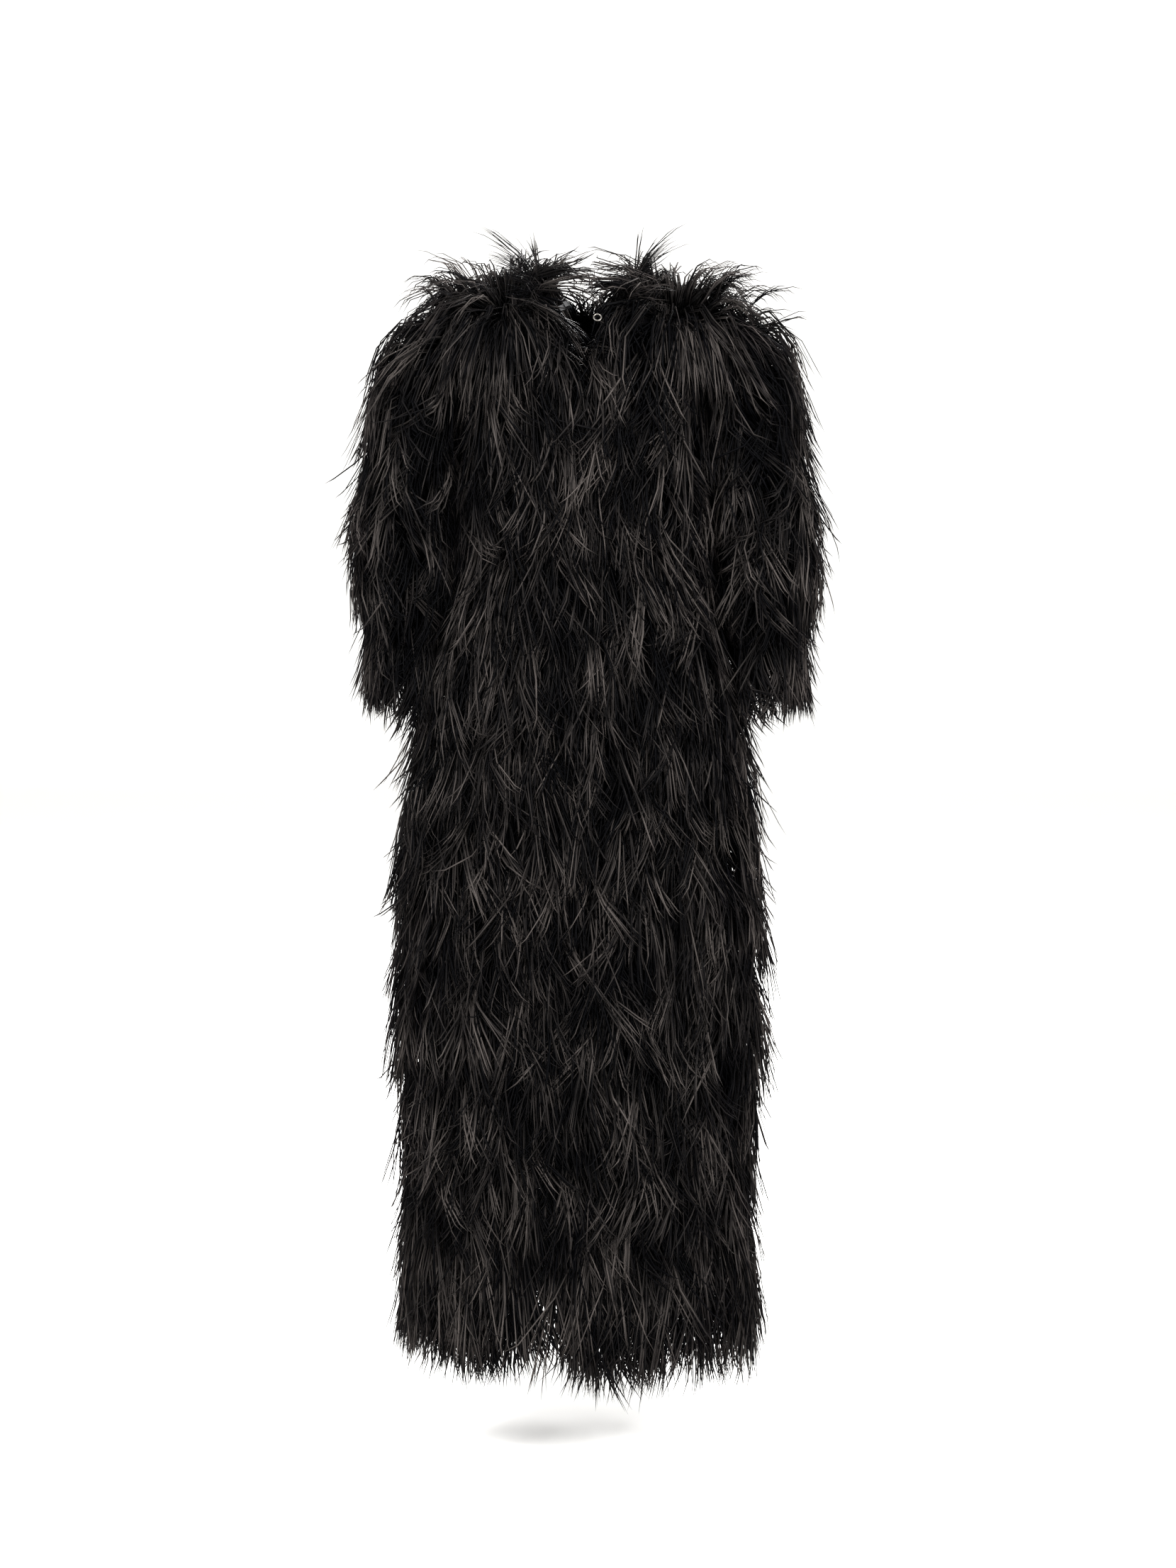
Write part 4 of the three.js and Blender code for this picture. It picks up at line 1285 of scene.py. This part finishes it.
@dataclass(frozen=True)
class Fringe:
    """The feathers that hang free past the hem and cuffs: sown in a narrow strip along each."""

    hem: Habit = Habit(
        locks=160, barbs=8, uneven=0.16, width=2.8, deep=0.12, high=1.0, tip_rise=18, spread=9,
        flare=18, stray=0.18, stray_out=17, lean=0.1, curl=0.28, ahead=6, tier_share=1.0,
    )
    cuff: Habit = Habit(
        locks=80, barbs=8, length=112, uneven=0.16, deep=0.15, high=1.0, tip_rise=9, spread=8,
        flare=11, stray_out=14, lean=0.1, curl=0.2, ahead=6, tier_share=1.0,
    )
    hem_lengths: tuple[float, float, float] = (196.0, 219.0, 205.0)  # right and left fronts, and the back
    hem_bands: tuple[tuple[float, float], ...] = ((0.0, 1.05), (0.0, 1.05), (-0.03, 1.03))  # past the seams
    hem_start: float = 0.985
    cuff_start: float = 0.95
    hem_seeds: tuple[int, int, int] = (41, 42, 43)
    cuff_seeds: tuple[int, int] = (51, 52)

    def strips(self) -> list[Strip]:
        """What the fringe is made of.

        Returns:
            The three strips of the hem and then the two of the cuffs.
        """
        walls = {"right": FRONTS[Side.RIGHT], "left": FRONTS[Side.LEFT], "back": BACK}
        hems = zip(walls.items(), self.hem_seeds, self.hem_lengths, self.hem_bands)
        cuffs = zip(Side, self.cuff_seeds)
        return [
            *(
                Strip("hem", part, wall, seed, replace(self.hem, length=length, band=band), self.hem_start)
                for (part, wall), seed, length, band in hems
            ),
            *(
                Strip("cuff", side.name.lower(), SLEEVES[side], seed, self.cuff, self.cuff_start)
                for side, seed in cuffs
            ),
        ]

    def build(self, strip: Strip, material: bpy.types.Material) -> bpy.types.Object:
        """One strip of the fringe.

        Args:
            strip: the strip.
            material: the feathers' material.

        Returns:
            The object.
        """
        barbs = sown(strip.wall, strip.habit, np.random.default_rng(strip.seed), strip.start)
        node = f"{strip.edge}_fringe_{strip.part}"
        return feather_piece(f"fringe_{strip.edge}_{strip.part}", node, [barbs], material)


@dataclass(frozen=True)
class Neck:
    """The feathers along the neckline.

    Long thin ones arch away beside and behind the neck. Those at the middle of the back, where the neck
    shows open, and those across the V are short.
    """

    habit: Habit = Habit(
        locks=150, barbs=5, width=1.7, spread=9, gather=-0.1, flare=9, stray=0.15, stray_out=8,
    )
    levels: tuple[float, float] = (0.02, 4.8)  # the part of the V that they lie along
    line_points: int = 60
    below: float = 1e-3  # share down the back where they are rooted
    root_places: tuple[float, float] = (0.1, 0.9)  # shares of its own part of the line between
    length: float = 108.0
    front_length: float = 34.0
    lengths: tuple[float, float] = (0.55, 1.15)  # shares of the length between
    middle_share: float = 0.26  # of the length, at the middle of the back
    middle: tuple[float, float] = (34.0, 62.0)  # x between which they grow to their full length
    middle_y: float = -12.0  # of the point that they lean away from
    run: float = 70.0  # from the shoulder seam forward, over which the long ones give way to the short
    rise: tuple[float, float] = (1.0, 0.35)  # share of the length, and how much of it those in front lack
    fall: tuple[float, float] = (0.2, 0.75)  # share of the rise, and what those in front add
    out: tuple[float, float] = (6.0, 16.0)  # way out along its length, and what those in front add
    lean: float = 54.0
    leans: tuple[float, float] = (0.0, 1.5)  # shares of it between
    front_lean: float = 0.75  # share of it that those in front lack
    swing: float = 14.0  # usual way to either side
    off_line: float = 0.5  # height of the barbs over their lock's path
    tones: tuple[float, float] = (0.4, 0.16)  # mean, and usual difference

    def line(self) -> Array:
        """The neckline.

        Returns:
            Its points, from the right end of its V round the back to the left end.
        """
        front = np.linspace(*self.levels, self.line_points)
        right, left = (wall.point(*wall.place(0 * front, front / HEM)) for wall in FRONTS.values())
        across = (1 + np.linspace(-BACK_NECK_SHARE, BACK_NECK_SHARE, self.line_points)) / 2
        behind = BACK.point(*BACK.place(across, 0 * across + self.below))
        return np.concatenate([right[::-1], behind, left])

    def build(self, seed: int, material: bpy.types.Material) -> bpy.types.Object:
        """The neck's feathers.

        With f from 0 behind the shoulder seam to 1 in front, a lock's path is its root, plus up times its
        length (1 - 0.35 f)(s - (0.2 + 0.75 f) s²), plus the level way out of the neck times (6 + 16 f) s
        and times its lean s², plus the way along the neckline times its swing s².

        Args:
            seed: starts their numbers.
            material: their material.

        Returns:
            The object.
        """
        rng = np.random.default_rng(seed)
        line = self.line()
        along = np.concatenate([[0], np.linalg.norm(np.diff(line, axis=0), axis=1).cumsum()])
        count = self.habit.locks
        at = (np.arange(count) + rng.uniform(*self.root_places, count)) / count * along[-1]
        root = on_line(at, along, line)
        front = smooth(-root[:, 1] / self.run)
        s = np.array(self.habit.stops)
        length = mix(self.length, self.front_length, front) * rng.uniform(*self.lengths, count)
        aside = smooth((np.abs(root[:, 0]) - self.middle[0]) / (self.middle[1] - self.middle[0]))
        length = length * np.where(root[:, 1] > 0, mix(self.middle_share, 1.0, aside), 1.0)
        away = unit(rows_of(root[:, 0], root[:, 1] - self.middle_y, 0.0))
        beside = np.cross(away, [0.0, 0.0, 1.0])
        lean = self.lean * rng.uniform(*self.leans, count) * (1 - self.front_lean * front)
        swing = rng.normal(0, self.swing, count)
        rise = (length * (self.rise[0] - self.rise[1] * front))[:, None]
        rise = rise * (s - (self.fall[0] + self.fall[1] * front)[:, None] * s**2)
        path = root[:, None] + (away * lean[:, None] + beside * swing[:, None])[:, None] * (s**2)[:, None]
        path = path + away[:, None] * (self.out[0] + self.out[1] * front)[:, None, None] * s[:, None]
        path[..., 2] += rise
        ways = unit(np.gradient(path, axis=1))
        normals = unit(np.cross(np.cross(ways, away[:, None]), ways) + 1e-3)
        heights = np.full((count, len(s)), self.off_line)
        barbs = locks_of(path, normals, ways, heights, self.habit, rng, rng.normal(*self.tones, count))
        return feather_piece("feathers_neck", "neck_band", [barbs], material)


@dataclass(frozen=True)
class Crest:
    """The burst of feathers round the whorl on each shoulder, which stand up and fall away on all sides."""

    habit: Habit = Habit(
        locks=140, barbs=7, width=2.4, spread=8, gather=-0.5, flare=15, stray=0.16, stray_out=14,
    )
    ring: tuple[float, float] = (2.0, 62.0)  # least and most distance of a root from the whorl
    ring_power: float = 0.7  # under 1, which puts more of them far out
    uneven_turn: float = 0.15  # radians
    outward: float = 0.45  # share by which the ring is wider towards the sleeve
    outward_rise: float = 0.3  # share of that by which those rise more
    levels: tuple[float, float, int] = (-3.0, 3.0, 241)  # first and last level of the cloth, and points
    reach: float = 104.0
    reaches: tuple[float, float] = (0.5, 1.1)  # shares of it between
    upright: tuple[float, float] = (0.25, 30.0)  # share of it at the whorl, and distance that adds a full one
    far_lack: float = 0.25  # share of it that the farthest lack
    inward: float = 0.6  # share of it that those towards the neck lack
    rise: tuple[float, float] = (98.0, 152.0)
    fall: tuple[float, float] = (80.0, 136.0)
    facing: tuple[float, float] = (0.8, 0.25)  # slope and start of how far one faces front
    ahead_rise: float = 0.35  # share of the rise that those that face front lack
    ahead_fall: float = 70.0  # further fall of those
    ahead_falls: tuple[float, float] = (0.6, 1.1)  # shares of it between
    way_power: float = 1.15
    off_line: float = 0.5  # height of the barbs over their lock's path
    tones: tuple[float, float] = (0.5, 0.16)  # mean, and usual difference

    def roots(self, wall: TorsoWall, x: Array, y: Array) -> Array:
        """The points of a front's cloth that are nearest in plan to each x and y, over the shoulder too.

        Args:
            wall: the front.
            x, y: where the roots are wanted.

        Returns:
            The points.
        """
        levels = np.linspace(*self.levels)
        turn = turn_at(x[:, None], LEVELS.at(np.abs(levels)))
        sheet = wall.point(turn, np.broadcast_to(levels, turn.shape))
        nearest = np.argmin(np.abs(sheet[..., 1] - y[:, None]), axis=1)
        return sheet[np.arange(len(x)), nearest]

    def build(self, side: Side, seed: int, material: bpy.types.Material) -> bpy.types.Object:
        """One shoulder's crest.

        The roots lie on the cloth round the whorl, and those next to it stand upright. A lock's path is
        its root plus the level way from the whorl times reach s, plus up times rise s - fall s², and
        those that face front fall further.

        Args:
            side: the shoulder.
            seed: starts its numbers.
            material: the feathers' material.

        Returns:
            The object.
        """
        rng = np.random.default_rng(seed)
        count = self.habit.locks
        whorl = Lie().whorls[list(Side).index(side)]
        angle = GOLDEN_TURN * np.arange(count) + rng.normal(0, self.uneven_turn, count)
        way = rows_of(np.cos(angle), np.sin(angle), 0.0)
        outer = self.outward * np.maximum(0.0, side.value * way[:, 0])
        far = mix(*self.ring, rng.random(count) ** self.ring_power) * (1 + outer)
        root = self.roots(FRONTS[side], whorl[0] + far * way[:, 0], whorl[1] + far * way[:, 1])
        s = np.array(self.habit.stops)
        ahead = smooth(-way[:, 1] * self.facing[0] + self.facing[1])
        up = rng.uniform(*self.rise, count) * (1 - self.ahead_rise * ahead) * (1 + self.outward_rise * outer)
        down = rng.uniform(*self.fall, count)
        down = down + self.ahead_fall * ahead * rng.uniform(*self.ahead_falls, count)
        share = np.minimum(self.upright[0] + far / self.upright[1], 1 - self.far_lack * far / self.ring[1])
        out = self.reach * rng.uniform(*self.reaches, count) * share
        out = out * (1 - self.inward * smooth(-side.value * way[:, 0]))
        path = root[:, None] + way[:, None] * (out[:, None] * s**self.way_power)[..., None]
        path[..., 2] += up[:, None] * s - down[:, None] * s**2
        ways = unit(np.gradient(path, axis=1))
        normals = unit(np.cross(unit(np.cross(way, [0.0, 0.0, 1.0]))[:, None], ways))
        heights = np.full((count, len(s)), self.off_line)
        barbs = locks_of(path, normals, ways, heights, self.habit, rng, rng.normal(*self.tones, count))
        name = side.name.lower()
        return feather_piece(f"feathers_shoulder_{name}", f"front_{name}", [barbs], material)


@dataclass(frozen=True)
class Softbox:
    """A lamp with a wide even face that turns to the coat. Its sizes are metres and watts."""

    name: str
    place: tuple[float, float, float]
    size: tuple[float, float]
    power: float
    aim: tuple[float, float, float] = (0.0, 0.0, -0.7)  # the middle of the coat

    def build(self) -> None:
        """Makes the lamp, turned by the slope and the bearing of its way to the coat."""
        data = bpy.data.lights.new(self.name, "AREA")
        data.shape, data.energy = "RECTANGLE", self.power
        data.size, data.size_y = self.size
        lamp = bpy.data.objects.new(self.name, data)
        lamp.location = self.place
        lamp.visible_camera = False
        x, y, z = np.array(self.aim) - np.array(self.place)
        lamp.rotation_euler = (math.atan2(math.hypot(x, y), -z), 0, math.atan2(y, x) - math.pi / 2)
        bpy.context.scene.collection.objects.link(lamp)


@dataclass(frozen=True)
class Studio:
    """The camera of the photograph, a pale floor and soft lights."""

    camera_place: tuple[float, float, float] = (0.003, -5.05, -0.02)  # metres
    camera_far: float = 100.0  # metres
    pitch: float = 7.13  # degrees down
    focal_pixels: float = 5300.0
    floor_z: float = -1560.0
    floor_near: float = -9000.0
    floor_far: float = 7000.0  # where it starts to curve up
    floor_half: float = 9000.0
    bend: float = 1500.0
    backdrop: float = 6000.0  # height
    paint: str = "#f4f3f1"
    room_light: float = 0.8
    softboxes: tuple[Softbox, ...] = (
        Softbox("softbox_left", (-2.3, -3.6, 1.5), (0.9, 1.8), 270.0),
        Softbox("softbox_right", (2.5, -3.4, 1.7), (0.9, 1.8), 360.0),
        Softbox("softbox_top", (0.0, -1.6, 2.6), (1.8, 1.0), 150.0),
        Softbox("softbox_behind", (0.6, 3.4, 1.8), (1.2, 1.8), 220.0),
    )

    def camera(self) -> None:
        """The camera: its sensor is as wide as the photograph's long side."""
        data = bpy.data.cameras.new("camera")
        data.sensor_width = SENSOR
        data.lens = SENSOR * self.focal_pixels / PHOTO_LONG_SIDE
        data.clip_end = self.camera_far
        camera = bpy.data.objects.new("camera", data)
        camera.location = self.camera_place
        camera.rotation_euler = (math.radians(90 - self.pitch), 0, 0)
        bpy.context.scene.collection.objects.link(camera)
        bpy.context.scene.camera = camera

    def floor(self) -> None:
        """A floor that curves up into a backdrop: flat, then a quarter round, then upright."""
        turn = np.linspace(0, math.pi / 2, 24)
        back = self.floor_far + self.bend
        y = np.concatenate([[self.floor_near], self.floor_far + self.bend * np.sin(turn), [back]])
        z = np.concatenate([[0], self.bend - self.bend * np.cos(turn), [self.backdrop]]) + self.floor_z
        x = np.linspace(-self.floor_half, self.floor_half, 3)
        points = rows_of(x[None, :], y[:, None], z[:, None])
        material, tree = new_material("painted_backdrop_white_matt")
        paint = {"Base Color": linear(self.paint), "Roughness": 0.9, "Specular IOR Level": 0.1}
        add_node(tree, "OutputMaterial", None, {"Surface": add_node(tree, "BsdfPrincipled", "BSDF", paint)})
        piece = grid_piece("floor", points, points[..., :2] * MM, material, turned=True)
        log.info("%s: %d faces", piece.name, len(piece.data.polygons))

    def build(self) -> None:
        """Makes them all, and the even light of the room."""
        self.camera()
        self.floor()
        for softbox in self.softboxes:
            softbox.build()
        world = bpy.data.worlds.new("room")
        world.use_nodes = True
        world.node_tree.nodes["Background"].inputs["Color"].default_value = (1, 1, 1, 1)
        world.node_tree.nodes["Background"].inputs["Strength"].default_value = self.room_light
        bpy.context.scene.world = world
        bpy.context.scene.view_settings.view_transform = "Standard"


HOOK_FINISH = WireFinish("steel_wire_black_lacquer", "#0a0a0b", 0.0, 0.36)
EYE_FINISH = WireFinish("steel_wire_nickel_plated", "#5e5b57", 1.0, 0.42)
NECK_SEED = 61
CREST_SEEDS = {Side.RIGHT: 71, Side.LEFT: 72}
EDGING_SEEDS = {Side.RIGHT: 81, Side.LEFT: 82}


def main() -> None:
    """Builds the studio and the coat."""
    logging.basicConfig(level=logging.INFO, format="%(message)s")
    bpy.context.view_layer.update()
    Studio().build()
    feather, silk = OstrichFeather().material(), SilkSatin().material()
    for panel in PANELS:
        beds = [Plumage().build(panel, bed, feather) for bed in panel.beds]
        GroundCloth().build(panel, beds, silk)
    fringe = Fringe()
    for strip in fringe.strips():
        fringe.build(strip, feather)
    HOOK_FINISH.dress("hook")
    EYE_FINISH.dress("eye")
    Neck().build(NECK_SEED, feather)
    for side in Side:
        Crest().build(side, CREST_SEEDS[side], feather)
        Edging().build(side, EDGING_SEEDS[side], feather)


if __name__ == "__main__":
    main()
